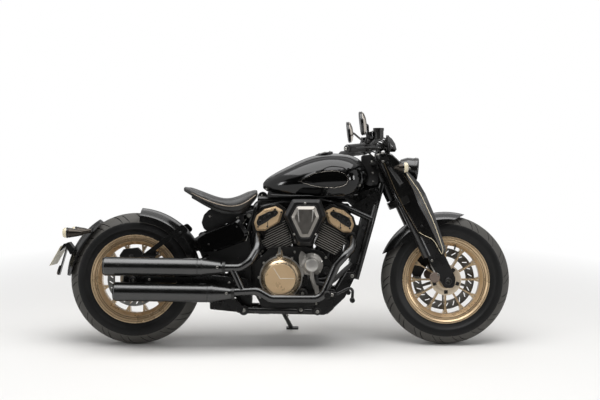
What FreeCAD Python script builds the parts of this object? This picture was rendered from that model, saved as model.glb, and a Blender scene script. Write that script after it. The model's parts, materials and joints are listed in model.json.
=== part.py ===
"""Cruiser motorcycle with a V-twin engine, two cast wheels and a solo saddle, parked on its side stand.

Millimetres. The pieces are drawn on the upright machine: +X forward, +Y left, +Z up, and the ground at z = 0
half way between the axles. stand_it() then leans the whole machine to the left onto its stand and puts the
origin under the middle of its bounding box.
"""

import FreeCAD, Part
import math
import os

Vec = FreeCAD.Vector

# ---- driving dimensions ----------------------------------------------------------------------------------
WHEELBASE = 1540.0
LEAN = 8.0                    # degrees to the left on the side stand
RAKE = 25.0                   # steering axis from vertical
AXLE_LEAD = 38.0              # front axle ahead of the fork tubes
YOKE_OFFSET = 30.0            # fork tubes ahead of the steering axis
FORK_Y = 120.0                # half the distance between the fork tubes
FORK_TUBE_R = 25.0
AXLE_R = 12.0
AXLE_BORE_R = 7.0
STEM_R = 16.0
RUNNING = 0.05                # radial clearance of a running fit
GAP = 6.0                     # clearance of moving pieces

BANK_REAR = -25.5             # cylinder axes from vertical, rearward negative
BANK_FRONT = 27.5
CRANK = Vec(60, 0, 285)
CASE_HALF = 122.0             # half the crankcase's width

BACKBONE_R = 24.0
BACKBONE_Z = 722.0
DOWNTUBE_R = 17.0
RAIL_R = 17.0
RAIL_Y = 112.0
RAIL_Z = 177.0
PIVOT = Vec(-235, 0, 310)     # swingarm pivot
PIVOT_R = 12.0
ARM_IN = 112.0                # the swingarm's inner faces
ARM_WIDE = 26.0
ARM_OUT = ARM_IN + ARM_WIDE

PIPE_R = 20.0
MUFFLER_R = 46.0
EXHAUST_Y = -(ARM_OUT + 18 + MUFFLER_R)

# One row per wheel: the place, the tyre's outer radius, half width and crown radius, half the rim's bead
# seat, the lip's radius, the angle of the first spoke, the hub's half length, and the brake disc's side
# and radii.
WHEEL_COLUMNS = ("x radius half_width crown bead_half lip_r first_spoke hub_half disc_y disc_r disc_inner_r")
WHEELS = {
    "front": (WHEELBASE / 2, 320.0, 67.0, 72.0, 48.0, 216.0, 0.0, 86.0, 62.0, 155.0, 112.0),
    "rear": (-WHEELBASE / 2, 326.0, 77.0, 84.0, 56.0, 219.0, 14.0, 86.0, -88.0, 132.0, 95.0),
}
WHEEL = {n: dict(zip(WHEEL_COLUMNS.split(), row)) for n, row in WHEELS.items()}
BEAD_R = 203.0                # bead seat of a 16 inch rim
SPOKES = 12
SPOKE_TIP_R = 172.0
DISC_THICK = 5.0
DISC_CARRIER_R = 56.0
FRONT_FENDER_GAP, REAR_FENDER_GAP, TAIL_FENDER_GAP = 13.0, 20.0, 14.0    # from a tyre to its fender's inside


# ---- drawing helpers -------------------------------------------------------------------------------------
def centre_of(wheel):
    return Vec(WHEEL[wheel]["x"], 0, WHEEL[wheel]["radius"])


def corner(before, point, after, radius):
    """Both ends and the middle of the arc that rounds a corner, no larger than the two runs allow."""
    u, v = (before - point), (after - point)
    shorter = min(u.Length, v.Length)
    u.normalize()
    v.normalize()
    half = u.getAngle(v) / 2
    reach = min(radius / math.tan(half), 0.45 * shorter)
    radius = reach * math.tan(half)
    inward = (u + v).normalize()
    middle = point + inward * (radius / math.sin(half) - radius)
    return point + u * reach, middle, point + v * reach


def rounded_wire(points, radius, closed):
    """Straight runs between the points, joined by tangent arcs. radius is one value, or one per point."""
    radii = radius if isinstance(radius, (list, tuple)) else [radius] * len(points)
    count = len(points)
    edges, last = [], None
    first = None
    for i, point in enumerate(points):
        if (not closed and i in (0, count - 1)) or radii[i] <= 0:
            start = end = point
            arc = None
        else:
            start, middle, end = corner(points[i - 1], point, points[(i + 1) % count], radii[i])
            arc = Part.Arc(start, middle, end).toShape()
        if last is not None and (start - last).Length > 1e-6:
            edges.append(Part.makeLine(last, start))
        if first is None:
            first = start
        if arc:
            edges.append(arc)
        last = end
    if closed and (first - last).Length > 1e-6:
        edges.append(Part.makeLine(last, first))
    return Part.Wire(edges)


def tube(points, radius, bend=60.0):
    """A round bar or closed pipe along straight runs and tangent bends."""
    points = [Vec(*p) for p in points]
    if len(points) == 2:
        run = points[1] - points[0]
        return Part.makeCylinder(radius, run.Length, points[0], run)
    path = rounded_wire(points, bend, False)
    ring = Part.Wire(Part.makeCircle(radius, points[0], points[1] - points[0]))
    return Part.Solid(path.makePipeShell([ring], True, False))


def plate(outline, y0, y1, radius=0.0):
    """A side-view outline of (x, z) points, extruded from y0 to y1."""
    wire = rounded_wire([Vec(x, y0, z) for x, z in outline], radius, True)
    return Part.Face(wire).extrude(Vec(0, y1 - y0, 0))


def scaled_outline(outline, share):
    """The outline grown or shrunk about its middle."""
    cx = sum(p[0] for p in outline) / len(outline)
    cz = sum(p[1] for p in outline) / len(outline)
    return [(cx + (x - cx) * share, cz + (z - cz) * share) for x, z in outline]


def disc(x, z, radius, y0, y1):
    return Part.makeCylinder(radius, abs(y1 - y0), Vec(x, min(y0, y1), z), Vec(0, 1, 0))


def turned(profile, centre, axis=Vec(0, 1, 0), across=Vec(0, 0, 1), angle=360.0):
    """A closed profile of (along the axis, radius) points turned about the axis. A point with a third value
    is the middle of an arc between its neighbours."""
    axis = Vec(axis).normalize()
    at = lambda p: centre + axis * p[0] + across * p[1]
    points, edges = list(profile), []
    count, i = len(points), 0
    while i < count:
        after = points[(i + 1) % count]
        if len(after) == 3:
            end = points[(i + 2) % count]
            edges.append(Part.Arc(at(points[i]), at(after), at(end)).toShape())
            i += 2
        else:
            edges.append(Part.makeLine(at(points[i]), at(after)))
            i += 1
    return Part.Face(Part.Wire(edges)).revolve(centre, axis, angle)


def fused(*shapes):
    whole = shapes[0].fuse(list(shapes[1:])) if len(shapes) > 1 else shapes[0]
    return whole.removeSplitter()


def fitted(shape, *others):
    """The shape with the room that the others take cut from it, so that the faces meet."""
    return shape.cut(list(others))


def from_axle(wheel, outline):
    """Side-view points measured from a wheel's axle, as places on the machine."""
    centre = centre_of(wheel)
    return [(centre.x + x, centre.z + z) for x, z in outline]


def near_axle(wheel, x, y, z):
    """A place measured from a wheel's axle."""
    return centre_of(wheel) + Vec(x, y, z)


def largest(shape):
    """The biggest solid of a cut shape, without the offcuts."""
    return max(shape.Solids, key=lambda solid: solid.Volume)


def mirrored(shape):
    return shape.mirror(Vec(0, 0, 0), Vec(0, 1, 0))


def both(shape):
    """The shape and its twin on the other side, as one node's two solids."""
    return Part.makeCompound(shape.Solids + mirrored(shape).Solids)


def about(shape, centre, degrees):
    """A copy turned about the Y axis through centre."""
    return shape.rotated(centre, Vec(0, 1, 0), degrees)


def section_loft(sections, ruled=False):
    return Part.makeLoft(sections, True, ruled)


# ---- wheels ----------------------------------------------------------------------------------------------
def tyre(wheel):
    w = WHEEL[wheel]
    middle = w["radius"] - w["crown"]
    shoulder_y = w["half_width"] - 2
    shoulder_r = middle + math.sqrt(w["crown"] ** 2 - shoulder_y ** 2)
    flank_y, flank_r = w["half_width"], (shoulder_r + w["lip_r"]) / 2 + 4
    bead, lip = w["bead_half"], w["lip_r"] + 1.0
    return turned([
        (-bead, BEAD_R), (bead, BEAD_R), (bead, lip), (bead + 8, lip), (flank_y, flank_r, "arc"),
        (shoulder_y, shoulder_r), (0, w["radius"], "arc"), (-shoulder_y, shoulder_r),
        (-flank_y, flank_r, "arc"), (-bead - 8, lip), (-bead, lip)], centre_of(wheel))


def rim(wheel):
    """One cast wheel: drop-centre rim, blade spokes that fork at the rim, hub and its bolted flange."""
    w, centre = WHEEL[wheel], centre_of(wheel)
    bead, lip = w["bead_half"], w["lip_r"]
    half = [(bead + 7, lip - 9), (bead + 7, lip), (bead, lip), (bead, BEAD_R), (bead - 14, BEAD_R),
            (bead - 24, BEAD_R - 15)]
    inner = [(-22, 170), (22, 170), (bead - 10, 186), (bead - 6, 197), (bead + 2, 199)]
    outer = half + [(-y, r) for y, r in reversed(half)]
    barrel = turned(outer + [(-y, r) for y, r in reversed(inner[2:])] + inner, centre)
    hub_r, flange_r, boss_y = 40.0, 76.0, 44.0
    hub = disc(centre.x, centre.z, hub_r, -w["hub_half"] + 14, w["hub_half"] - 14)
    flange = disc(centre.x, centre.z, flange_r, -boss_y, -boss_y + 14)
    web = disc(centre.x, centre.z, 58.0, -boss_y + 14, 24)
    blade = [(-5, hub_r - 4), (5, hub_r - 4), (3.5, 140), (14, SPOKE_TIP_R), (6, SPOKE_TIP_R), (0, 160),
             (-6, SPOKE_TIP_R), (-14, SPOKE_TIP_R), (-3.5, 140)]
    spoke = plate([(centre.x + u, centre.z + r) for u, r in blade], -24, 20)
    spokes = [about(spoke, centre, w["first_spoke"] + i * 360 / SPOKES) for i in range(SPOKES)]
    bolt = disc(centre.x, centre.z + 60, 7, -boss_y - 1, -boss_y + 6)
    bolts = [about(bolt, centre, i * 360 / 5) for i in range(5)]
    bore = disc(centre.x, centre.z, AXLE_R + RUNNING, -200, 200)
    return fused(barrel, hub, flange, web, *spokes).cut(bolts + [bore])


def brake_disc(wheel):
    """A slotted ring on five arms that bolt to the hub."""
    w, centre = WHEEL[wheel], centre_of(wheel)
    side = math.copysign(1, w["disc_y"])
    y0, y1 = w["disc_y"] - DISC_THICK / 2, w["disc_y"] + DISC_THICK / 2
    outer, inner, eye = w["disc_r"], w["disc_inner_r"], 40.0
    ring = disc(centre.x, centre.z, outer, y0, y1).cut(disc(centre.x, centre.z, inner, y0 - 1, y1 + 1))
    hub_face = side * (w["hub_half"] - 14)
    carrier = disc(centre.x, centre.z, DISC_CARRIER_R, y0, y1)
    arm = plate([(centre.x - 9, centre.z + 40), (centre.x + 9, centre.z + 40),
                 (centre.x + 6, centre.z + inner + 6), (centre.x - 6, centre.z + inner + 6)], y0, y1)
    arms = [about(arm, centre, 36 + i * 72) for i in range(5)]
    if abs(w["disc_y"]) < abs(hub_face):
        centre_hole = disc(centre.x, centre.z, eye, y0 - 1, y1 + 1)
        foot = disc(centre.x, centre.z, DISC_CARRIER_R, side * 24, w["disc_y"])
        foot = foot.cut(disc(centre.x, centre.z, eye, 0, side * 200))
    else:
        centre_hole = disc(centre.x, centre.z, AXLE_R + 8, y0 - 1, y1 + 1)
        foot = disc(centre.x, centre.z, eye, hub_face, w["disc_y"]).cut(
            disc(centre.x, centre.z, AXLE_R + 8, hub_face - 50, hub_face + 50))
    slot_long, slot_wide, count = 0.55 * (outer - inner), 4.5, 24
    mid = (outer + inner) / 2
    slot = plate([(centre.x - slot_wide / 2, centre.z + mid - slot_long / 2),
                  (centre.x + slot_wide / 2, centre.z + mid - slot_long / 2),
                  (centre.x + slot_wide / 2, centre.z + mid + slot_long / 2),
                  (centre.x - slot_wide / 2, centre.z + mid + slot_long / 2)], y0 - 1, y1 + 1)
    slot = about(slot, centre + Vec(0, 0, mid), 38)
    slots = [about(slot, centre, 7.5 + i * 360 / count) for i in range(count)]
    return fused(ring, carrier, *arms, foot).cut(slots + [centre_hole])


def hollow_axle(wheel, half_length):
    """A wheel's axle, bored through for a paddock stand's pin."""
    centre = centre_of(wheel)
    bar = disc(centre.x, centre.z, AXLE_R, -half_length, half_length)
    return bar.cut(disc(centre.x, centre.z, AXLE_BORE_R, -half_length - 1, half_length + 1))


# ---- front end, in the plane of the fork -----------------------------------------------------------------
UP = Vec(-math.sin(math.radians(RAKE)), 0, math.cos(math.radians(RAKE)))
AHEAD = Vec(math.cos(math.radians(RAKE)), 0, math.sin(math.radians(RAKE)))
FRONT_AXLE = Vec(WHEEL["front"]["x"], 0, WHEEL["front"]["radius"])
FORK_FOOT = FRONT_AXLE - AHEAD * AXLE_LEAD
STEER_FOOT = FORK_FOOT - AHEAD * YOKE_OFFSET
LOWER_YOKE, UPPER_YOKE, FORK_TOP = 448.0, 672.0, 702.0     # heights along the fork
LOWER_YOKE_THICK, UPPER_YOKE_THICK = 34.0, 26.0
BEARING_GAP = 5.5
BAR_R = 12.7
BAR = [(-327, 0, 658), (-327, 60, 658), (-362, 205, 658), (-501, 385, 637)]    # from the front axle
GRIP_R, GRIP_LONG = 17.0, 128.0
SHROUD_IN, SHROUD_OUT = FORK_Y - 23, FORK_Y + 30
SLIDER_HALF = 21.0
HOSE_R = 4.5
MIRROR_Y, MIRROR_Z = 372.0, 756.0


def along(foot, height, y=0.0, ahead=0.0):
    return foot + UP * height + AHEAD * ahead + Vec(0, y, 0)


def yoke(height, thick, nose, tail):
    """A yoke across both fork tubes: a waisted plate square to the steering axis."""
    clamp, outer, inner = YOKE_OFFSET + nose, FORK_Y + 34, FORK_Y - 26
    outline = [(-tail, -tail), (-tail, tail), (YOKE_OFFSET - 12, outer), (clamp, outer), (clamp, inner),
               (nose, 40), (nose, -40), (clamp, -inner), (clamp, -outer), (YOKE_OFFSET - 12, -outer)]
    points = [along(STEER_FOOT, height - thick / 2, y, a) for a, y in outline]
    return Part.Face(rounded_wire(points, 12, True)).extrude(UP * thick)


def fork_leg():
    """The right leg: chromed tube, and the cast slider that carries the axle ahead of it."""
    stanchion = Part.makeCylinder(FORK_TUBE_R, FORK_TOP - 150, along(FORK_FOOT, 150, -FORK_Y), UP)
    outline = from_axle("front", [(-142, 220), (-106, 236), (-70, 200), (-8, 110), (36, 15), (30, -35),
                                  (-20, -32), (-66, 46), (-130, 172)])
    radii = [20, 20, 40, 60, 26, 26, 26, 60, 40]
    slider = plate(outline, -FORK_Y - SLIDER_HALF, -FORK_Y + SLIDER_HALF, radii)
    bore = disc(FRONT_AXLE.x, FRONT_AXLE.z, AXLE_R, -300, 0)
    return fused(stanchion, slider).cut(bore)


# The shroud's corners, from the front axle: x and z of the edge, x and z on the outer face, rounding.
SHROUD_ROWS = (
    (-338, 606, -335, 604, 8),
    (-262, 418, -258, 418, 60),
    (-158, 226, -154, 229, 14),
    (-90, 200, -88, 204, 20),
    (-42, 126, -43, 134, 10),
    (-26, 110, -32, 126, 8),
    (-8, 152, -34, 154, 20),
    (-63, 317, -106, 300, 60),
    (-109, 426, -147, 376, 40),
    (-141, 481, -170, 440, 30),
    (-203, 543, -210, 532, 20),
    (-242, 592, -244, 585, 20),
    (-276, 624, -277, 616, 14),
    (-320, 630, -318, 623, 10),
)


def fork_shroud():
    """The right blade cover. Its front facet is bevelled back from a crease that runs down to the point."""
    middle = SHROUD_OUT - 24
    edge = from_axle("front", [row[:2] for row in SHROUD_ROWS])
    face = from_axle("front", [row[2:4] for row in SHROUD_ROWS])
    radii = [row[4] for row in SHROUD_ROWS]
    wires = [rounded_wire([Vec(x, -y, z) for x, z in outline], radii, True)
             for y, outline in ((SHROUD_IN, edge), (middle, edge), (SHROUD_OUT, face))]
    recess = from_axle("front", [(-290, 548), (-276, 556), (-228, 474), (-240, 462)])
    pocket = plate(recess, -SHROUD_OUT - 1, -SHROUD_OUT + 8, 5)
    return section_loft(wires, True).cut(pocket)


def front_end():
    nodes = {}
    leg = fork_leg()
    legs = both(leg)
    stem = Part.makeCylinder(STEM_R, UPPER_YOKE - LOWER_YOKE, along(STEER_FOOT, LOWER_YOKE), UP)
    lower = fused(yoke(LOWER_YOKE, LOWER_YOKE_THICK, 34, 34), stem)
    upper = yoke(UPPER_YOKE, UPPER_YOKE_THICK, 26, 30)
    nodes["lower_yoke"] = fitted(lower, legs)
    nodes["upper_yoke"] = fitted(upper, legs, nodes["lower_yoke"])
    nodes["fork_legs"] = legs
    shroud = largest(fitted(fork_shroud(), leg, lower, upper))
    nodes["fork_shrouds"] = both(shroud)
    nodes["front_axle"] = hollow_axle("front", FORK_Y + SLIDER_HALF)

    left = [near_axle("front", *point) for point in BAR]
    right = [near_axle("front", x, -y, z) for x, y, z in BAR]
    middle, inner, end = right[0], right[-2], right[-1]
    bar = tube(left[:0:-1] + right[1:], BAR_R, 45)
    riser_foot = along(STEER_FOOT, UPPER_YOKE + UPPER_YOKE_THICK / 2, 0, 6)
    clamps = []
    for y in (-45.0, 45.0):
        ring = disc(middle.x, middle.z, 21, y - 13, y + 13)
        post = tube([riser_foot + Vec(0, y, 0), middle + Vec(0, y, 0)], 12)
        clamps += [ring, post]
    nodes["handlebar"] = fitted(fused(bar, *clamps), nodes["upper_yoke"])

    inward = (inner - end).normalize()
    grip = fused(Part.makeCylinder(GRIP_R, GRIP_LONG, end - inward * 4, inward),
                 Part.makeCylinder(GRIP_R + 5, 5, end + inward * (GRIP_LONG - 9), inward))
    nodes["grips"] = both(fitted(grip, nodes["handlebar"]))
    nodes["hand_controls"] = fitted(hand_controls(end, inward), nodes["handlebar"], nodes["grips"])
    nodes["mirrors"] = fitted(mirrors(end, inward), nodes["hand_controls"])
    nodes["headlight"] = fitted(headlight(), nodes["lower_yoke"])
    nodes["front_indicators"] = fitted(front_indicators(), shroud, mirrored(shroud))
    nodes["instrument"] = fitted(instrument(), nodes["handlebar"], nodes["upper_yoke"])
    nodes["front_fender"] = fitted(front_fender(), legs, shroud, mirrored(shroud))
    nodes["front_caliper"] = front_caliper(mirrored(leg))
    nodes["front_brake_hose"] = fitted(front_brake_hose(), *[nodes[n] for n in (
        "hand_controls", "upper_yoke", "lower_yoke", "front_caliper", "fork_legs")])
    return nodes


def front_brake_hose():
    """From the reservoir on the right bar, down between the tubes, to the caliper on the left leg."""
    route = [(-303, -186, 708), (-296, -140, 672), (-292, -84, 635), (-286, -66, 580), (-250, -36, 480),
             (-210, -34, 410), (-170, 30, 348), (-130, 88, 270), (-102, 88, 180), (-88, 84, 126),
             (-96, 80, 88)]
    return tube([near_axle("front", *point) for point in route], HOSE_R, 30)


def hand_controls(end, inward):
    """Each side: the perch on the bar, its lever, and on the right the round fluid reservoir."""
    place = end + inward * (GRIP_LONG + 16)
    ahead = Vec(0.79, -0.61, 0.0)
    perch = Part.makeCylinder(21, 30, place - inward * 15, inward)
    body = Part.makeCylinder(13, 62, place + ahead * 22 - inward * 24, inward)
    neck = Part.makeCylinder(10, 30, place, ahead)
    start = place + ahead * 30 - inward * 10
    tip = end + ahead * 46 + inward * 6
    lever = tube([start, start - inward * 30 + ahead * 22, tip], 5.5, 20)
    left = mirrored(fused(perch, neck, body, lever))
    cup_foot = place + ahead * 48 + inward * 44 + Vec(0, 0, 34)
    bridge = tube([place + ahead * 20, cup_foot + Vec(0, 0, 8)], 9)
    cup = fused(Part.makeCylinder(24, 40, cup_foot, Vec(0, 0, 1)),
                Part.makeCylinder(26, 12, cup_foot + Vec(0, 0, 40), Vec(0, 0, 1)))
    right = fused(perch, neck, body, lever, bridge, cup)
    return Part.makeCompound(right.Solids + left.Solids)


def mirrors(end, inward):
    """Oval mirrors on bent stalks, facing back. The left one is turned in, so it stands further back."""
    root = end + inward * (GRIP_LONG + 16) + Vec(0, 0, 18)
    whole = []
    for side, x in ((1, -432), (-1, -462)):
        face = near_axle("front", x, -MIRROR_Y, MIRROR_Z)
        stalk = tube([root, root + Vec(14, -6, 40), face + Vec(26, 10, -8), face + Vec(8, 0, 0)], 5.5, 14)
        shell = turned([(-9, 0), (-9, 44), (-4, 54), (2, 56), (12, 46), (18, 24), (20, 0)], face,
                       Vec(1, 0, 0.12), Vec(-0.12, 0, 1).normalize())
        mirror = fused(shell, stalk)
        whole += mirror.Solids if side > 0 else mirrored(mirror).Solids
    return Part.makeCompound(whole)


def headlight():
    """A round lamp on a bracket from the lower yoke."""
    centre = near_axle("front", -185, 0, 552)
    bowl = turned([(-56, 0), (-54, 22), (-38, 44), (-8, 56), (38, 57), (44, 52), (46, 0)], centre,
                  Vec(1, 0, -0.1), Vec(0.1, 0, 1).normalize())
    foot = along(STEER_FOOT, LOWER_YOKE, 0, 30)
    post = plate([(foot.x, foot.z), (foot.x + 12, foot.z + 6), (centre.x + 11, centre.z - 42),
                  (centre.x - 9, centre.z - 42)], -16, 16, 4)
    return fused(bowl, post)


def front_indicators():
    """Bullet lamps outboard of the shrouds."""
    centre = near_axle("front", -214, -FORK_Y - 58, 554)
    bullet = turned([(-54, 0), (-54, 5), (-30, 18), (-8, 24), (8, 24), (8, 0)], centre, Vec(1, 0, 0))
    stalk = Part.makeCylinder(8, 60, centre + Vec(-12, 0, 0), Vec(0, 1, 0))
    return both(fused(bullet, stalk))


def instrument():
    """A round dial that faces the rider, with a bullet-shaped back, on a foot ahead of the bar."""
    facing = Vec(-0.8, 0, 0.6)
    across = Vec(0.6, 0, 0.8)
    centre = near_axle("front", -292, 0, 678)
    pod = turned([(-58, 0), (-58, 8), (-34, 27), (-6, 37), (14, 38), (16, 35), (16, 0)], centre, facing,
                 across)
    foot = tube([centre - facing * 24, along(STEER_FOOT, UPPER_YOKE, 0, 42)], 11)
    return fused(pod, foot)


ARCH_RISE = 32.0              # how far a fender's crown stands above its shoulders


def arch(wheel, r_in, thick, half_width, drop, angles):
    """A fender's blank: a crowned shell round the wheel's axis between two angles from +X, in degrees."""
    first, last = angles
    r_out = r_in + thick
    wall = half_width - thick
    inside, outside = r_in - ARCH_RISE, r_in - ARCH_RISE + 2
    profile = [(-half_width, r_in - drop), (-wall, r_in - drop), (-wall, inside), (0, r_in, "arc"),
               (wall, inside), (wall, r_in - drop), (half_width, r_in - drop), (half_width, outside),
               (0, r_out, "arc"), (-half_width, outside)]
    blank = turned(profile, centre_of(wheel), angle=-(last - first))
    return about(blank, centre_of(wheel), 90 - first)


def polar(wheel, degrees, radius):
    c, a = centre_of(wheel), math.radians(degrees)
    return c.x + radius * math.cos(a), c.z + radius * math.sin(a)


def crescent(wheel, tips, belly, y):
    """The round cutter whose edge passes both tips and the belly of a fender's skirt."""
    places = [polar(wheel, *place) for place in (tips[0], belly, tips[1])]
    a, b, c = (Vec(x, -y, z) for x, z in places)
    circle = Part.Arc(a, b, c).toShape().Curve
    middle = Vec(circle.Center.x, -y, circle.Center.z)
    return Part.makeCylinder(circle.Radius, 2 * y, middle, Vec(0, 1, 0))


def front_fender():
    r_in = WHEEL["front"]["radius"] + FRONT_FENDER_GAP
    shell = arch("front", r_in, 5, 80, 90, (72, 158))
    shell = shell.cut(crescent("front", ((75, r_in - 2), (156, r_in - 4)), (116, r_in - 75), 200))
    lug_at = along(FORK_FOOT, r_in - 41, 0, 4)
    lug = disc(lug_at.x, lug_at.z, 14, -FORK_Y, -70)
    lugs = lug.cut(disc(lug_at.x, lug_at.z, 20, -77, 77))
    return fused(shell, lugs, mirrored(lugs))


def caliper(wheel, degrees, reach, span):
    """A brake caliper that straddles the disc at an angle from +X."""
    w = WHEEL[wheel]
    c = centre_of(wheel)
    mid = (w["disc_r"] + w["disc_inner_r"]) / 2
    y = w["disc_y"]
    outline = [(-48, mid - 26), (48, mid - 26), (58, mid + 12), (34, w["disc_r"] + reach),
               (-34, w["disc_r"] + reach), (-58, mid + 12)]
    body = plate([(c.x + u, c.z + r) for u, r in outline], y - span, y + span, 10)
    slot = disc(c.x, c.z, w["disc_r"] + GAP, y - DISC_THICK / 2 - GAP, y + DISC_THICK / 2 + GAP)
    return about(body.cut(slot), c, 90 - degrees)


def front_caliper(leg):
    body = caliper("front", 152, 17, 24)
    foot = along(FORK_FOOT, 150, FORK_Y - 24, 0)
    x, z = polar("front", 152, 158)
    lug = tube([(x, 85, z), (foot.x + 6, FORK_Y, foot.z)], 13)
    return fitted(fused(body, lug), leg)


# ---- frame -----------------------------------------------------------------------------------------------
def rail_path(side):
    y = side * RAIL_Y
    return [(296, y, 344), (182, y, RAIL_Z - 7), (-229, y, RAIL_Z)]


def downtube_path(side):
    """Close together at the steering head, where the fork legs swing back, and wide at the rails."""
    return [along(STEER_FOOT, 566, side * 30, -20), along(STEER_FOOT, 494, side * 54, -83),
            (398, side * 84, 610), (318, side * RAIL_Y, 330)]


def frame_spine():
    """Head tube, backbone, saddle rails and the plates that hold the swingarm's pivot, welded into one."""
    low = LOWER_YOKE + LOWER_YOKE_THICK / 2 + BEARING_GAP
    high = UPPER_YOKE - UPPER_YOKE_THICK / 2 - BEARING_GAP
    head = Part.makeCylinder(31, high - low, along(STEER_FOOT, low), UP)
    bore = Part.makeCylinder(STEM_R + RUNNING, high - low + 2, along(STEER_FOOT, low - 1), UP)
    top = along(STEER_FOOT, (low + high) / 2 + 20)
    backbone = tube([top, (330, 0, BACKBONE_Z + 20), (210, 0, BACKBONE_Z), (-165, 0, BACKBONE_Z - 6)],
                    BACKBONE_R)
    saddle_lug = disc(-140, BACKBONE_Z + 12, 24, -12, 12)
    parts = [head, backbone, saddle_lug]
    for s in (-1, 1):
        parts.append(tube([(-150, 0, BACKBONE_Z - 14), (-172, s * 60, 690), (-232, s * 83, 470)], 14, 30))
        parts.append(tube([(-186, s * 64, 660), (-290, s * 64, 632), (-404, s * 64, 640)], 12, 60))
        parts.append(plate([(-270, 160), (-196, 160), (-192, 300), (-205, 490), (-246, 490), (-268, 300)],
                           *sorted((s * 62, s * 80)), 14))
    parts.append(disc(-232, 450, 14, -83, 83))
    parts.append(disc(-229, RAIL_Z, 16, -RAIL_Y, RAIL_Y))
    return fused(*parts).cut([bore, disc(PIVOT.x, PIVOT.z, PIVOT_R, -300, 300)])


def frame_downtubes(spine):
    """Each side: the downtube, the brace from it to the backbone, and the pierced gusset between them."""
    down = tube(downtube_path(-1), DOWNTUBE_R, 160)
    brace = tube([(400, -84, 622), (212, -66, 708), (150, -16, BACKBONE_Z + 2)], 15, 60)
    peak = along(STEER_FOOT, 545, 0, -42)
    gusset = plate([(296, 682), (peak.x, peak.z), (412, 622)], -74, -68, 8)
    slot = plate([(366, 700), (376, 704), (382, 674), (372, 668)], -80, -60, 3)
    return both(fitted(fused(down, brace, gusset.cut(slot)), spine))


def frame_cradle():
    """The bolted lower cradle: rails, front and peg plates, cross tubes, muffler hanger, stand's lug."""
    parts = []
    front_plate = [(100, 190), (106, 156), (164, 154), (200, 178), (266, 240), (308, 326), (306, 362),
                   (274, 362), (214, 262), (166, 200)]
    peg_plate = [(104, 168), (172, 168), (222, 244), (224, 274), (196, 280), (176, 268)]
    for s in (-1, 1):
        parts.append(tube(rail_path(s), RAIL_R, 60))
        y0, y1 = sorted((s * (RAIL_Y + 4), s * (RAIL_Y + 18)))
        parts.append(plate(front_plate, y0, y1, 10))
        parts.append(plate(peg_plate, *sorted((s * (RAIL_Y + 12), s * (RAIL_Y + 24))), 10))
        parts.append(disc(-229, RAIL_Z, 24, *sorted((s * (RAIL_Y - 14), s * (RAIL_Y + 21)))))
    for x in (150, -130):
        parts.append(disc(x, RAIL_Z - 4, 13, -RAIL_Y, RAIL_Y))
    hanger = [(-392, 186), (-232, 170), (-232, 200), (-268, 236), (-392, 236)]
    parts.append(plate(hanger, -RAIL_Y - 60, -RAIL_Y - 8, 8))
    parts.append(tube([(-340, -150, 210), (-340, EXHAUST_Y, 236)], 14))
    return fused(*parts, stand_lug())


def swingarm():
    """Two box arms on their pivot shaft, a cross member ahead of the tyre and the shock absorber's brace."""
    axle = centre_of("rear")
    arm_side = [(PIVOT.x - 195, PIVOT.z - 28), (PIVOT.x + 26, PIVOT.z - 20), (PIVOT.x + 26, PIVOT.z + 22),
                (PIVOT.x - 195, PIVOT.z + 42)]
    arm_side += from_axle("rear", [(70, 26), (28, 36), (-42, 30), (-50, -26), (28, -36)])
    parts = []
    for s in (-1, 1):
        y0, y1 = sorted((s * ARM_IN, s * ARM_OUT))
        parts.append(plate(arm_side, y0, y1, [60, 14, 14, 60, 60, 20, 22, 22, 30]))
        mid = s * (ARM_IN + ARM_OUT) / 2
        parts.append(tube([(-560, mid, 340), (-424, mid - s * 3, 424), (-384, s * 44, 470)], 13, 40))
    parts.append(disc(-384, 470, 15, -46, 46))
    tyre_front = axle.x + WHEEL["rear"]["radius"]
    parts.append(disc(tyre_front + 40, 316, 24, -ARM_IN - 6, ARM_IN + 6))
    parts.append(disc(PIVOT.x, PIVOT.z, PIVOT_R, -ARM_OUT - 4, ARM_OUT + 4))
    return fused(*parts).cut(disc(axle.x, axle.z, AXLE_R, -300, 300))


def shock_absorber(*carriers):
    """A coil-over damper from the swingarm's brace to the frame."""
    foot, head = Vec(-384, 0, 470), Vec(-206, 0, 640)
    axis = head - foot
    length = axis.Length
    body = turned([(0, 0), (0, 14), (26, 14), (26, 30), (length - 44, 30), (length - 44, 20), (length, 20),
                   (length, 0)], foot, axis, Vec(-axis.z, 0, axis.x).normalize())
    bar = disc(head.x, head.z, 10, -78, 78)
    return fitted(fused(body, bar), *carriers)


# ---- engine ----------------------------------------------------------------------------------------------
FINS, FIN_FOOT, FIN_TOP, FIN_THICK = 12, 216.0, 344.0, 4.5
COVER_Y = 104.0
COVER_OUTLINE = [(77, 385), (52, 420), (-2, 430), (-52, 419), (-79, 391), (-85, 352), (-48, 333), (37, 342)]
CLUTCH = Vec(-47, 0, 338)
CLUTCH_R, CLUTCH_BOSSES = 102.0, 9
PUMP, PUMP_R = Vec(101, 0, 400), 59.0
GENERATOR, GENERATOR_R = Vec(60, 0, 300), 86.0


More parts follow.
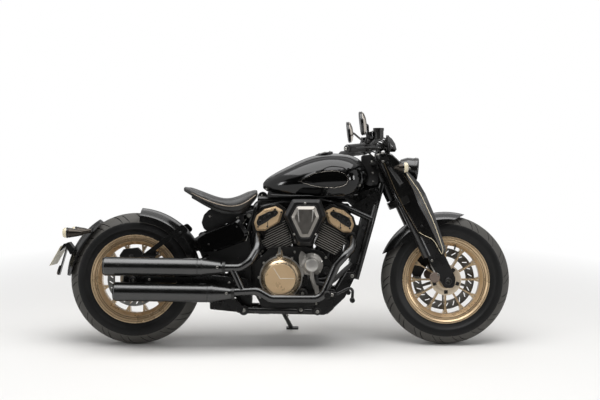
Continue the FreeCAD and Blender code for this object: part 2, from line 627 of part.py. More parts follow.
def crankcase():
    """The case: its rounded block, the bosses under the side covers, the feet on the cradle's cross tubes,
    the starter's housing behind it, and the throttle body that rises into the V."""
    outline = [(-172, 250), (-140, 190), (150, 190), (196, 262), (204, 400), (158, 462), (70, 486), (-96, 486),
               (-172, 410)]
    parts = [plate(outline, -CASE_HALF, CASE_HALF, 26),
             disc(GENERATOR.x, GENERATOR.z, GENERATOR_R + 6, CASE_HALF, CASE_HALF + 10),
             disc(CLUTCH.x, CLUTCH.z, CLUTCH_R + 10, -CASE_HALF - 8, -CASE_HALF),
             disc(PUMP.x, PUMP.z, PUMP_R + 3, -CASE_HALF - 14, -CASE_HALF)]
    for i in range(CLUTCH_BOSSES):
        a = math.radians(20 + i * 360 / CLUTCH_BOSSES)
        x, z = CLUTCH.x + (CLUTCH_R + 7) * math.cos(a), CLUTCH.z + (CLUTCH_R + 7) * math.sin(a)
        parts.append(disc(x, z, 9, -CASE_HALF - 22, -CASE_HALF))
    for x0, x1 in ((110, 190), (-164, -96)):
        parts.append(plate([(x0, 152), (x1, 152), (x1 - 4, 200), (x0 + 4, 200)], -60, 60, 10))
    starter = [(-150, 230), (-150, 500), (-212, 486), (-219, 440), (-219, 330), (-190, 250)]
    parts.append(plate(starter, -57, 57, 12))
    parts.append(disc(CRANK.x + 6, 486, 46, -70, 70))
    return fused(*parts)


def slab(centre_x, half_x, half_y, z0, z1, radius):
    """A rounded rectangle, square to the cylinder's axis."""
    corners = [Vec(centre_x - half_x, -half_y, z0), Vec(centre_x + half_x, -half_y, z0),
               Vec(centre_x + half_x, half_y, z0), Vec(centre_x - half_x, half_y, z0)]
    return Part.Face(rounded_wire(corners, radius, True)).extrude(Vec(0, 0, z1 - z0))


def barrel():
    """The rear cylinder and its head, upright over the crank. Its cooling fins grow towards the head."""
    parts = [slab(-12, 46, 64, 150, FIN_TOP, 30)]
    for i in range(FINS):
        z = FIN_FOOT + i * (FIN_TOP - FIN_FOOT) / FINS
        share = i / (FINS - 1)
        parts.append(slab(-10 - 10 * share, 62 + 20 * share, 76 + 12 * share, z, z + FIN_THICK, 24))
    head = scaled_outline(COVER_OUTLINE, 1.2)
    parts.append(plate(head, -COVER_Y, COVER_Y, 16))
    return fused(*parts)


def head_cover():
    """The bevelled cover on the right of the rear head, open at the middle over the sunk rocker chamber."""
    steps = ((-COVER_Y, 1.0), (-COVER_Y - 10, 1.0), (-COVER_Y - 24, 0.86))
    cover = section_loft([rounded_wire([Vec(x, y, z) for x, z in scaled_outline(COVER_OUTLINE, k)], 10, True)
                          for y, k in steps], True)
    slot = plate([(-68, 369), (-66, 391), (-40, 404), (44, 408), (54, 386), (22, 382), (10, 373)],
                 -COVER_Y - 25, -COVER_Y - 8, 4)
    return cover.cut(slot)


def engine_hanger(*carriers):
    """The pair of pierced plates that hold both heads to the backbone, with the coil box between them."""
    outline = [(-166, 706), (-176, 640), (-150, 590), (60, 520), (256, 590), (300, 640), (290, 700)]
    panel = plate(outline, 30, 36, 14)
    box = plate([(-60, 696), (-60, 640), (180, 640), (180, 696)], -31, 31, 8)
    return largest(fitted(fused(panel, mirrored(panel), box), *carriers))


def banked(shape, bank):
    """The shape moved over the crank and tilted. Pieces are drawn for the rear bank, and turned for the
    front one."""
    facing = shape if bank < 0 else shape.mirror(Vec(0, 0, 0), Vec(1, 0, 0))
    return about(facing.translated(CRANK), CRANK, bank)


def round_cover(x, z, profile, side):
    """A turned engine cover on the crankcase's side: profile of (out from the case, radius)."""
    points = [(0, 0)] + list(profile) + [(profile[-1][0], 0)]
    return turned(points, Vec(x, side * CASE_HALF, z), Vec(0, side, 0))


def engine(spine, down):
    nodes = {}
    case = crankcase()
    nodes["crankcase"] = case
    front, rear = banked(barrel(), BANK_FRONT), banked(barrel(), BANK_REAR)
    nodes["cylinder_front"] = largest(fitted(front, case, down))
    nodes["cylinder_rear"] = largest(fitted(rear, case, nodes["cylinder_front"], spine))
    covers = [banked(head_cover(), bank) for bank in (BANK_REAR, BANK_FRONT)]
    nodes["head_covers"] = Part.makeCompound([s for c in covers for s in both(c).Solids])
    nodes["clutch_cover"] = fitted(clutch_cover(), case)
    r = GENERATOR_R
    generator = round_cover(GENERATOR.x, GENERATOR.z, [(0, r), (36, r - 4), (50, r - 16), (54, r - 36)], 1)
    sprocket = plate([(-150, 240), (-40, 246), (-30, 330), (-60, 372), (-150, 372), (-178, 300)], CASE_HALF,
                     CASE_HALF + 34, 22)
    nodes["left_covers"] = fitted(fused(generator, sprocket), case)
    nodes["water_pump"] = fitted(water_pump(), case, nodes["clutch_cover"])
    can = round_cover(58, 262, [(0, 25), (34, 25), (40, 19), (40, 12), (34, 9)], -1)
    nodes["oil_filter"] = fitted(can, case)
    return nodes


def clutch_cover():
    """Domed in steps, with a sunk wedge in its flat face and the release arm's bracket on top."""
    r, x, z = CLUTCH_R, CLUTCH.x, CLUTCH.z
    dome = round_cover(x, z, [(0, r), (34, r - 4), (52, r - 16), (60, r - 26), (66, r - 29)], -1)
    face = CASE_HALF + 66
    ring = disc(x, z, r - 34, -face - 1, -face + 2)
    wedge = plate([(x, z), (x + 110, z), (x + 60, z + 110), (x - 55, z + 95)], -face - 1, -face + 2)
    bracket = plate([(x - 22, z + r - 10), (x + 12, z + r - 10), (x + 4, z + r + 34), (x - 14, z + r + 34)],
                    -CASE_HALF - 26, -CASE_HALF - 14, 5)
    return fused(dome, bracket).cut(ring.common(wedge))


def water_pump():
    """The round pump with its smaller snout, and the outlet pipe that bends down behind it."""
    r, x, z = PUMP_R, PUMP.x, PUMP.z
    body = round_cover(x, z, [(0, r), (24, r - 2), (30, r - 15), (36, r - 23), (56, r - 26), (60, r - 32)], -1)
    y = -CASE_HALF - 40
    outlet = tube([(x + 2, y, z - 8), (x + 4, y, z - 66), (x + 22, y + 18, z - 116)], 11, 24)
    return fused(body, outlet)


AIR_OUTLINE = [(9, 722), (146, 722), (174, 642), (103, 494), (35, 494), (-34, 642)]


def air_filter():
    """The six-sided air filter housing on the right, tapered outwards, with its intake into the V."""
    sections = [(-130, 0.93), (-170, 1.0), (-215, 0.97), (-236, 0.84)]
    wires = [rounded_wire([Vec(x, y, z) for x, z in scaled_outline(AIR_OUTLINE, k)], 14, True)
             for y, k in sections]
    body = section_loft(wires, True)
    intake = disc(68, 606, 34, -131, 40)
    mount = plate([(48, 480), (92, 480), (92, 610), (48, 610)], -40, 10, 4)
    pocket = plate(scaled_outline(AIR_OUTLINE, 0.66), -240, -228, 10)
    lid = plate(scaled_outline(AIR_OUTLINE, 0.655), -242, -228, 10)
    return fused(body, intake, mount).cut(pocket), lid


# ---- exhaust ---------------------------------------------------------------------------------------------
def exhaust():
    y = EXHAUST_Y
    front = [(270, -62, 556), (306, -114, 524), (300, -166, 482), (262, y, 447), (222, y, 403), (184, y, 316),
             (150, y, 240), (-95, y, 240), (-160, y, 278), (-330, y, 270)]
    rear = [(-128, -60, 572), (-165, -102, 540), (-160, -170, 484), (-200, y, 418), (-242, y, 389),
            (-380, y, 389)]
    balance = tube([(-284, y, 389), (-232, y, 277)], 17)
    headers = fused(tube(front, PIPE_R, 60), tube(rear, PIPE_R, 60), balance)
    rows = ((-904, 397, -322, 388), (-855, 275, -277, 266))   # rear x, rear z, front x, front z
    mufflers = []
    for x0, z0, x1, z1 in rows:
        start, axis = Vec(x0, y, z0), Vec(x1 - x0, 0, z1 - z0)
        long, r = axis.Length, MUFFLER_R
        side = Vec(-axis.z, 0, axis.x).normalize()
        can = turned([(0, r - 22), (0, r - 8), (8, r), (453, r), (454, r - 1.5), (457, r - 1.5), (458, r),
                      (476, r - 1), (long, PIPE_R + 7), (long, 0), (120, 0), (120, r - 22)], start, axis, side)
        slash = Part.makeBox(120, 200, 200, Vec(long, -100, -100))
        slash.rotate(Vec(long, 0, -PIPE_R), Vec(0, 1, 0), -20)
        slash.rotate(Vec(0, 0, 0), Vec(0, 1, 0), -math.degrees(math.atan2(axis.z, axis.x)))
        slash.translate(start)
        mufflers.append(can.cut(slash))
    mufflers = Part.makeCompound([s for m in mufflers for s in m.Solids])
    return headers, fitted(mufflers, headers)


# ---- bodywork --------------------------------------------------------------------------------------------
def tank_section(x, z_bottom, z_top, half, z_wide, shoulder, z_shoulder, foot):
    """Flat bottom, one bulged side each way, and one arc over the top."""
    right = [Vec(x, -foot, z_bottom), Vec(x, -half, z_wide), Vec(x, -shoulder, z_shoulder)]
    left = [Vec(x, shoulder, z_shoulder), Vec(x, half, z_wide), Vec(x, foot, z_bottom)]
    return Part.Wire([Part.Arc(*right).toShape(),
                      Part.Arc(right[2], Vec(x, 0, z_top), left[0]).toShape(),
                      Part.Arc(*left).toShape(),
                      Part.makeLine(left[2], right[0])])


def fuel_tank(*carriers):
    """The teardrop tank, lofted over its sections, with a lipped and sunk teardrop panel on each side."""
    # columns: x, bottom, top, half width and height at the widest line and at the shoulder, half the foot
    rows = (
        (-138, 776, 800, 22, 788, 14, 797, 14),
        (-96, 756, 840, 62, 790, 40, 826, 44),
        (-10, 744, 886, 106, 800, 74, 864, 84),
        (110, 738, 936, 140, 812, 94, 908, 112),
        (225, 737, 949, 152, 820, 100, 922, 118),
        (310, 745, 936, 138, 826, 88, 908, 100),
        (362, 775, 900, 92, 834, 54, 880, 60),
        (386, 806, 858, 34, 832, 20, 850, 22),
    )
    body = section_loft([tank_section(*row) for row in rows])
    flank = lambda inset: Part.Face(rounded_wire([
        Vec(42 + 3.2 * inset, -300, 812), Vec(190, -300, 890 - inset), Vec(286 - inset, -300, 880 - inset),
        Vec(290 - inset, -300, 792 + inset), Vec(200, -300, 768 + inset)],
        [6, 90, 44, 44, 90], True)).extrude(Vec(0, 280, 0))
    lip = flank(0).cut(flank(5)).common(body.translated(Vec(0, -1.6, 0))).cut(body)
    lip = largest(lip)
    pocket = flank(5).cut(body.translated(Vec(0, 3, 0)))
    tunnel = plate([(-200, 700), (420, 700), (420, BACKBONE_Z + 42), (240, BACKBONE_Z + BACKBONE_R + 1),
                    (-200, BACKBONE_Z + BACKBONE_R - 6)], -34, 34)
    body = body.fuse([lip, mirrored(lip)])
    return fitted(body, pocket, mirrored(pocket), tunnel, *carriers)


def filler_cap(tank):
    axis = Vec(-0.2, 0, 1).normalize()
    cap = turned([(-20, 0), (-20, 44), (6, 44), (12, 36), (12, 0)], Vec(168, 0, 940), axis,
                 Vec(1, 0, 0.2).normalize())
    return fitted(cap, tank)


def seat_section(x, z_bottom, z_top, half, crown):
    """A padded section: flat base, full sides and a shallow crown."""
    low = z_bottom + 0.35 * (z_top - z_bottom)
    points = [Vec(x, -half + 10, z_bottom), Vec(x, -half, low), Vec(x, -half * 0.8, z_top - crown)]
    right = Part.Arc(*points).toShape()
    mirror = [Vec(p.x, -p.y, p.z) for p in reversed(points)]
    return Part.Wire([right, Part.Arc(points[2], Vec(x, 0, z_top), mirror[0]).toShape(),
                      Part.Arc(*mirror).toShape(), Part.makeLine(mirror[2], points[0])])


# columns: x, bottom, top, half width, crown of the top
SADDLE_ROWS = (
    (-530, 762, 785, 52, 4),
    (-490, 738, 774, 84, 5),
    (-410, 694, 744, 116, 4),
    (-320, 662, 722, 128, 3),
    (-250, 662, 738, 112, 5),
    (-200, 694, 762, 84, 8),
    (-168, 734, 766, 56, 6),
)
PAN_THICK = 12.0


def saddle():
    return section_loft([seat_section(*row) for row in SADDLE_ROWS])


def saddle_pan(*carriers):
    """The moulded pan that closes the saddle underneath, on its two hinge blocks."""
    sections = []
    for x, bottom, _, half, _ in SADDLE_ROWS[1:-1]:
        y = half - 14
        low = bottom - PAN_THICK
        corners = [Vec(x, -y, bottom + 6), Vec(x, -y + 8, low), Vec(x, y - 8, low), Vec(x, y, bottom + 6)]
        sections.append(Part.makePolygon(corners + corners[:1]))
    blocks = [Part.makeBox(50, 40, 70, Vec(-400, -20, 636)), Part.makeBox(24, 40, 40, Vec(-262, -20, 632))]
    return largest(fitted(fused(section_loft(sections), *blocks), *carriers))


def side_cover(*carriers):
    """The long six-cornered cover under the saddle, bevelled round its outer face."""
    outline = [(-475, 526), (-427, 556), (-251, 624), (-204, 553), (-220, 516), (-359, 466), (-447, 462)]
    radii = [10, 40, 12, 16, 16, 40, 16]
    steps = ((-105, 1.0), (-136, 1.0), (-150, 0.86))
    body = section_loft([rounded_wire([Vec(x, y, z) for x, z in scaled_outline(outline, k)], radii, True)
                         for y, k in steps], True)
    boss = disc(-214, 545, 12, -106, -78)
    return fitted(fused(body, boss), *carriers)


def electrics_box(*carriers):
    """The box under the saddle for the battery and the fuses, rounded at its back."""
    outline = [(-440, 606), (-428, 644), (-400, 672), (-340, 652), (-236, 648), (-226, 604), (-330, 600),
               (-352, 560), (-402, 554), (-430, 576)]
    return largest(fitted(plate(outline, -78, 78, [20, 20, 14, 30, 12, 12, 30, 16, 20, 26]), *carriers))


def inner_guards(*carriers):
    """The thin panel on each side between the side cover and the swingarm, ahead of the rear tyre."""
    outline = [(-452, 560), (-456, 486), (-424, 404), (-300, 388), (-214, 396), (-196, 470), (-206, 560)]
    outer = ARM_IN - 2 * GAP + 1
    panel = plate(outline, -outer, -outer + 4, [20, 30, 40, 60, 20, 20, 20])
    boss = disc(-222, 510, 9, -outer + 1, -80)
    return both(largest(fitted(fused(panel, boss), *carriers)))


def rear_fender(*carriers):
    """The hugger over the front of the rear tyre, and the slotted stay each side that carries it."""
    r_in = WHEEL["rear"]["radius"] + REAR_FENDER_GAP
    shell = arch("rear", r_in, 6, 92, 62, (24, 85))
    stay = from_axle("rear", [(240, 274), (274, 240), (70, 86), (32, 24), (-2, 24), (4, 76), (48, 126)])
    inner, outer = -ARM_IN - 12, -ARM_IN - 3
    fixing = near_axle("rear", 229, 0, 230)
    bar = plate(stay, inner, outer, [14, 14, 40, 10, 10, 30, 40])
    slot = plate(from_axle("rear", [(198, 210), (210, 192), (116, 122), (104, 140)]), inner - 1, outer + 1, 9)
    boss = disc(fixing.x, fixing.z, 13, outer - 1, -80)
    return fused(shell, *both(fitted(fused(bar.cut(slot), boss), *carriers)).Solids)


def tail_fender(*carriers):
    """The narrow fender behind the tyre, and the arm that carries it from the swingarm's left end."""
    r_in = WHEEL["rear"]["radius"] + TAIL_FENDER_GAP
    shell = arch("rear", r_in, 6, 90, 84, (122, 177))
    shell = shell.cut(crescent("rear", ((122, r_in - 22), (177, r_in - 22)), (150, r_in - 40), 200))
    y = ARM_OUT + 14
    route = [(-20, y, 4), (-110, y, 66), (-230, 118, 144), (-282, 70, 186)]
    arm = tube([near_axle("rear", *point) for point in route], 11, 60)
    root = near_axle("rear", -20, 0, 4)
    eye = disc(root.x, root.z, 24, ARM_OUT, ARM_OUT + 16)
    arm = largest(fitted(fused(arm, eye), axle_room(), *carriers, wheel_room()))
    return shell.fuse(arm)


def axle_room():
    """What the rear axle's left end and its nut take up."""
    centre = centre_of("rear")
    return disc(centre.x, centre.z, 21, ARM_OUT - 1, ARM_OUT + 60)


def wheel_room():
    """The space that the rear tyre and a gap round it take up, inside the tail fender."""
    centre = centre_of("rear")
    return disc(centre.x, centre.z, WHEEL["rear"]["radius"] + TAIL_FENDER_GAP + 1, -100, 84)


def tail_lamps(*carriers):
    """A bullet lamp on a stalk each side of the tail fender."""
    centre = near_axle("rear", -294, -112, 230)
    lamp = turned([(-40, 0), (-40, 19), (-34, 23), (-22, 24), (12, 19), (38, 12), (38, 0)], centre,
                  Vec(1, 0, 0))
    stalk = tube([centre + Vec(26, 0, 0), near_axle("rear", -215, -92, 240)], 11)
    return both(fitted(fused(lamp, stalk), *carriers))


def plate_holder(*carriers):
    """A bracket behind the tail fender with the plate's mask above and a round reflector below."""
    top, low = near_axle("rear", -348, 0, 164), near_axle("rear", -390, 0, 18)
    run = low - top
    back = Part.makeBox(run.Length, 36, 6, Vec(0, -18, 0))
    back.rotate(Vec(0, 0, 0), Vec(0, 1, 0), math.degrees(math.atan2(-run.z, run.x)))
    back.translate(top)
    arm = plate(from_axle("rear", [(-308, 148), (-334, 182), (-352, 174), (-346, 156), (-324, 114)]), -34, 34,
                5)
    mask = plate(from_axle("rear", [(-352, 176), (-376, 144), (-370, 138), (-342, 164)]), -60, 60, 2)
    reflector = Part.makeCylinder(24, 8, low + Vec(7, 0, 22), Vec(run.z, 0, -run.x))
    return fitted(fused(back, arm, mask, reflector), *carriers)


PLATE_TOP = near_axle("rear", -360, 0, 164)
PLATE_TILT = 30.0
PLATE_WIDE, PLATE_HIGH, PLATE_THICK = 190.0, 112.0, 2.0
PLATE_HOLE_R, PLATE_HOLE_Y, PLATE_HOLE_DOWN = 3.5, 75.0, 20.0


def number_plate(holder):
    """A blank plate, with two bolt holes."""
    sheet = Part.makeBox(PLATE_THICK, PLATE_WIDE, PLATE_HIGH, Vec(-PLATE_THICK, -PLATE_WIDE / 2, -PLATE_HIGH))
    for y in (-PLATE_HOLE_Y, PLATE_HOLE_Y):
        sheet = sheet.cut(Part.makeCylinder(PLATE_HOLE_R, 10, Vec(-5, y, -PLATE_HOLE_DOWN), Vec(1, 0, 0)))
    sheet.rotate(Vec(0, 0, 0), Vec(0, 1, 0), PLATE_TILT)
    sheet.translate(PLATE_TOP)
    return fitted(sheet, holder)


def radiator(*carriers):
    """The core between the downtubes, with a louvred tank on each side."""
    thick, half_wide, high = 34.0, 70.0, 290.0
    lean = 15.5
    foot = Vec(302, 0, 372)
    core = Part.makeBox(thick, 2 * half_wide, high, Vec(-thick / 2, -half_wide, 0))
    tank = Part.makeBox(thick + 8, 13, high - 60, Vec(-thick / 2 - 4, -half_wide - 13, 34))
    louvre = Part.makeBox(20, 8, 5, Vec(-10, 0, -2.5))
    louvre.rotate(Vec(0, 0, 0), Vec(0, 1, 0), 30)
    slots = [louvre.translated(Vec(0, -half_wide - 18, 60 + 16 * i)) for i in range(12)]
    tank = tank.cut(slots)
    ears = disc(0, 215, 8, -half_wide - 40, half_wide + 40)
    fan = Part.makeBox(44, 2 * half_wide - 16, 170, Vec(-thick / 2 - 44, 8 - half_wide, 50))
    whole = fused(core, tank, mirrored(tank), ears, fan)
    whole.rotate(Vec(0, 0, 0), Vec(0, 1, 0), lean)
    return largest(fitted(whole.translated(foot), *carriers))


def foot_controls(*carriers):
    """Each side: the bracket on the cradle, the peg, and the brake pedal or gear lever ahead of it."""
    bar = tube([(214, -RAIL_Y - 14, 258), (214, -236, 258)], 11)
    arm = plate([(226, 248), (226, 272), (168, 278), (164, 254)], -246, -232, 8)
    peg = disc(176, 266, 14, -340, -246)
    lever = tube([(216, -240, 262), (300, -240, 304), (297, -240, 240)], 7, 18)
    pad = disc(297, 236, 10, -262, -222)
    return both(largest(fitted(fused(bar, arm, peg, lever, pad), *carriers)))


BELT_Y0, BELT_Y1 = 86.0, 104.0
DRIVE = Vec(-128, 0, 300)
DRIVE_R, REAR_PULLEY_R, BELT_THICK = 40.0, 86.0, 5.0


def belt_loop(offset, y0, y1):
    """The area inside the belt's run round both pulleys, grown by offset."""
    rear = centre_of("rear")
    r0, r1 = DRIVE_R + offset, REAR_PULLEY_R + offset
    span = math.hypot(rear.x - DRIVE.x, rear.z - DRIVE.z)
    tilt = math.atan2(rear.z - DRIVE.z, rear.x - DRIVE.x)
    lean = math.acos((r0 - r1) / span)
    at = lambda c, r, a: Vec(c.x + r * math.cos(a), y0, c.z + r * math.sin(a))
    a0, a1 = tilt + lean, tilt - lean
    front = Part.Arc(at(DRIVE, r0, a0), at(DRIVE, r0, tilt + math.pi), at(DRIVE, r0, a1)).toShape()
    back = Part.Arc(at(rear, r1, a1), at(rear, r1, tilt), at(rear, r1, a0)).toShape()
    wire = Part.Wire([front, Part.makeLine(at(DRIVE, r0, a1), at(rear, r1, a1)), back,
                      Part.makeLine(at(rear, r1, a0), at(DRIVE, r0, a0))])
    return Part.Face(wire).extrude(Vec(0, y1 - y0, 0))


def drive_belt(*carriers):
    """The toothed belt's loop, clear of the rear pulley's face."""
    clear = 0.5
    loop = belt_loop(clear + BELT_THICK, BELT_Y0, BELT_Y1).cut(belt_loop(clear, BELT_Y0 - 1, BELT_Y1 + 1))
    return fitted(loop, *carriers)


def rear_pulley():
    """The belt's rear pulley: a rim on six arms, bolted to the wheel's left side."""
    c = centre_of("rear")
    hub_r, rim_r = 40.0, REAR_PULLEY_R - 18
    ring = disc(c.x, c.z, REAR_PULLEY_R, BELT_Y0 - 2, BELT_Y1).cut(disc(c.x, c.z, rim_r, 0, 300))
    hub = disc(c.x, c.z, hub_r, WHEEL["rear"]["hub_half"] - 14, BELT_Y1 - 2)
    arm = plate([(c.x - 9, c.z + hub_r - 10), (c.x + 9, c.z + hub_r - 10), (c.x + 7, c.z + rim_r + 4),
                 (c.x - 7, c.z + rim_r + 4)], BELT_Y0, BELT_Y1 - 4)
    arms = [about(arm, c, i * 60) for i in range(6)]
    return fused(ring, hub, *arms).cut(disc(c.x, c.z, AXLE_R + RUNNING, 0, 300))


def rear_caliper(*carriers):
    body = caliper("rear", 96, ARM_IN - 90, 21)
    x, z = polar("rear", 96, 122)
    lug = tube([(x, -ARM_IN, z), near_axle("rear", -12, -ARM_IN - 4, 26)], 11)
    w = WHEEL["rear"]
    half_slot = DISC_THICK / 2 + GAP
    clear = disc(w["x"], w["radius"], w["disc_r"] + GAP, w["disc_y"] - half_slot, w["disc_y"] + half_slot)
    return fitted(fused(body, lug).cut(clear), *carriers)


# ---- side stand ------------------------------------------------------------------------------------------
STAND_PIVOT = Vec(-64, RAIL_Y + 42, 186)
STAND_FOOT = Vec(4, 302, 0)          # on the floor, with the machine leaning
STAND_FOLDED = Vec(-0.975, 0.06, 0.21)
STAND_R, STAND_PIN_R, STAND_BOSS = 11.0, 8.0, 22.0


def lean_placement():
    """The machine's lean about the line under its wheels, then up by what the round tyres need."""
    rise = min(w["crown"] for w in WHEEL.values()) * (1 - math.cos(math.radians(LEAN)))
    return FreeCAD.Placement(Vec(0, 0, rise), FreeCAD.Rotation(Vec(1, 0, 0), -LEAN))


def stand_geometry():
    """The stand's foot on the upright machine, the way its leg points, and its pivot's axis."""
    foot = lean_placement().inverse().multVec(STAND_FOOT)
    leg = (foot - STAND_PIVOT).normalize()
    axis = leg.cross(Vec(STAND_FOLDED)).normalize()
    return foot, leg, axis


def side_stand():
    foot, leg, axis = stand_geometry()
    reach = (foot - STAND_PIVOT).Length
    bar = Part.makeCylinder(STAND_R, reach - 14, STAND_PIVOT, leg)
    boss = Part.makeCylinder(19, STAND_BOSS, STAND_PIVOT - axis * STAND_BOSS / 2, axis)
    corners = [STAND_FOOT + Vec(x, y, 0) for x, y in ((-30, -20), (34, -20), (34, 22), (-30, 22))]
    sole = Part.Face(rounded_wire(corners, 10, True)).extrude(Vec(0, 0, 8))
    sole = sole.transformed(lean_placement().inverse().toMatrix(), copy=True)
    pin_hole = Part.makeCylinder(STAND_PIN_R + RUNNING, 60, STAND_PIVOT - axis * 30, axis)
    return boss.fuse([bar, sole]).cut(pin_hole)


def stand_lug():
    """The pivot pin, its inner cheek and the neck that carries them on the left rail."""
    _, _, axis = stand_geometry()
    pin = Part.makeCylinder(STAND_PIN_R, 44, STAND_PIVOT - axis * 22, axis)
    cheek = Part.makeCylinder(17, 8, STAND_PIVOT - axis * (STAND_BOSS / 2 + 9), axis)
    neck = tube([STAND_PIVOT - axis * 21, Vec(STAND_PIVOT.x, RAIL_Y, RAIL_Z)], 8)
    head = Part.makeCylinder(13, 5, STAND_PIVOT + axis * (STAND_BOSS / 2 + 2), axis)
    return fused(pin, cheek, neck, head)


# ---- assembly --------------------------------------------------------------------------------------------
BODIES = {
    "steering": ["fork_legs", "fork_shrouds", "upper_yoke", "lower_yoke", "front_axle", "handlebar", "grips",
                 "hand_controls", "mirrors", "headlight", "front_indicators", "instrument", "front_fender",
                 "front_caliper", "front_brake_hose"],
    "front_wheel": ["front_tyre", "front_rim", "front_disc"],
    "rear_wheel": ["rear_tyre", "rear_rim", "rear_disc", "rear_pulley"],
    "stand": ["side_stand"],
}


def machine():
    """Every node on the upright machine."""
    nodes = {}
    for wheel in WHEEL:
        nodes[f"{wheel}_tyre"] = tyre(wheel)
        nodes[f"{wheel}_rim"] = rim(wheel)
        nodes[f"{wheel}_disc"] = brake_disc(wheel)
    nodes["rear_pulley"] = rear_pulley()
    nodes.update(front_end())

    spine = frame_spine()
    down = frame_downtubes(spine)
    nodes["frame_spine"] = spine
    nodes["frame_downtubes"] = down
    nodes["swingarm"] = fitted(swingarm(), spine.cut(disc(PIVOT.x, PIVOT.z, PIVOT_R, -300, 300)))
    nodes["rear_axle"] = hollow_axle("rear", ARM_OUT + 12)
    nodes.update(engine(spine, down))
    case = nodes["crankcase"]
    headers, nodes["mufflers"] = exhaust()
    cradle = fitted(frame_cradle(), spine, down, nodes["mufflers"])
    nodes["frame_cradle"] = cradle
    nodes["crankcase"] = case = fitted(case, cradle, spine)
    nodes["exhaust_headers"] = largest(fitted(headers, nodes["cylinder_front"], nodes["cylinder_rear"]))
    housing, nodes["air_filter_lid"] = air_filter()
    nodes["air_filter_housing"] = fitted(housing, case, nodes["cylinder_front"], nodes["cylinder_rear"])
    nodes["shock_absorber"] = shock_absorber(spine, nodes["swingarm"])
    nodes["radiator"] = radiator(down, nodes["cylinder_front"], nodes["exhaust_headers"])
    nodes["engine_hanger"] = engine_hanger(spine, down, nodes["cylinder_front"], nodes["cylinder_rear"],
                                           nodes["crankcase"], nodes["air_filter_housing"])
    nodes["fuel_tank"] = fuel_tank(spine, down)
    nodes["filler_cap"] = filler_cap(nodes["fuel_tank"])
    nodes["electrics_box"] = electrics_box(spine, nodes["shock_absorber"])
    nodes["saddle"] = saddle()
    nodes["saddle_pan"] = saddle_pan(nodes["saddle"], spine, nodes["electrics_box"], nodes["shock_absorber"])
    nodes["side_covers"] = both(side_cover(spine))
    nodes["inner_guards"] = inner_guards(spine, nodes["swingarm"], nodes["shock_absorber"],
                                         nodes["side_covers"])
    nodes["rear_fender"] = rear_fender(nodes["swingarm"])
    nodes["tail_fender"] = tail_fender(nodes["swingarm"])
    nodes["tail_lamps"] = tail_lamps(nodes["tail_fender"])
    nodes["plate_holder"] = plate_holder(nodes["tail_fender"])
    nodes["number_plate"] = number_plate(nodes["plate_holder"])
    nodes["foot_controls"] = foot_controls(cradle, nodes["exhaust_headers"])
    nodes["drive_belt"] = drive_belt(case, spine)
    nodes["rear_caliper"] = rear_caliper(nodes["swingarm"], nodes["mufflers"])
    nodes["side_stand"] = side_stand()
    return nodes


def stand_it(nodes):
    """Leans the machine onto its stand and moves the origin under the middle of its box."""
    lean = lean_placement()
    placed = {name: shape.transformed(lean.toMatrix(), copy=True) for name, shape in nodes.items()}
    box = FreeCAD.BoundBox()
    for shape in placed.values():
        box.add(shape.optimalBoundingBox(False))
    shift = Vec(-box.Center.x, -box.Center.y, 0)
    return {name: shape.translated(shift) for name, shape in placed.items()}, shift


def main():
    os.makedirs("parts", exist_ok=True)
    nodes, _ = stand_it(machine())
    for name, shape in nodes.items():
        shape.exportStep(os.path.join("parts", name + ".step"))


if __name__ == "__main__":
    main()
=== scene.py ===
"""Cruiser motorcycle on its side stand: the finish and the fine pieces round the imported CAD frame.

Metres. Pieces are modelled on the upright machine: +X forward, +Y left, +Z up, and the floor at z = 0 half
way between the axles. settle() leans a finished piece onto the side stand and hangs it on its body.
"""

import json
import math

import bpy
from mathutils import Matrix, Vector


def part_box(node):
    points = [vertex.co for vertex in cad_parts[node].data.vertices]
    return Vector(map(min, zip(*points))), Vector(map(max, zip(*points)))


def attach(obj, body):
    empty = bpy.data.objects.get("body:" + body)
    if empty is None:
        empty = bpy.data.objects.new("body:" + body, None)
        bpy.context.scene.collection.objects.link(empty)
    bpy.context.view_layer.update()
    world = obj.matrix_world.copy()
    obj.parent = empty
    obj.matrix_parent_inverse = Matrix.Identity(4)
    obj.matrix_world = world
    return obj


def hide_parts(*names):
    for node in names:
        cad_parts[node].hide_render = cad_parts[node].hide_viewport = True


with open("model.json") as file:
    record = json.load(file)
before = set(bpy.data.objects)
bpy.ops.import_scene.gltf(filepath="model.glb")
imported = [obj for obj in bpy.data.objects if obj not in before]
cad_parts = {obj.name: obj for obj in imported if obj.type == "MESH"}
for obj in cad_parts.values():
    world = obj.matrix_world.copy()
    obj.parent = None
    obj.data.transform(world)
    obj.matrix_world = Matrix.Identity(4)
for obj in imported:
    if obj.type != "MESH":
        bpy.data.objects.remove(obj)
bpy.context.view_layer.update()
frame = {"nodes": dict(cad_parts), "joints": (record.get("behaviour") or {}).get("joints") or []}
bpy.ops.object.select_all(action="DESELECT")


# ---- where the machine stands ---------------------------------------------------------------------------
# The parked machine leans to its left on the side stand. The frame's axles say by how much and where it is,
# and the camera leans with it, square to its right side and six metres away.
WHEELBASE = 1.540
joints = {joint["name"]: joint for joint in frame["joints"]}
tyre_low, tyre_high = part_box("front_tyre")
FRONT_R = (tyre_high.x - tyre_low.x) / 2
tyre_low, tyre_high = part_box("rear_tyre")
REAR_R = (tyre_high.x - tyre_low.x) / 2
axle_across = Vector(joints["front_wheel_spin"]["axis"])
lean = Matrix.Rotation(math.atan2(axle_across.z, axle_across.y), 4, "X")
front_axle = Vector((WHEELBASE / 2, 0, FRONT_R))
rear_axle = Vector((-WHEELBASE / 2, 0, REAR_R))
parked = Matrix.Translation(joints["front_wheel_spin"]["pos_m"]) @ lean @ Matrix.Translation(-front_axle)

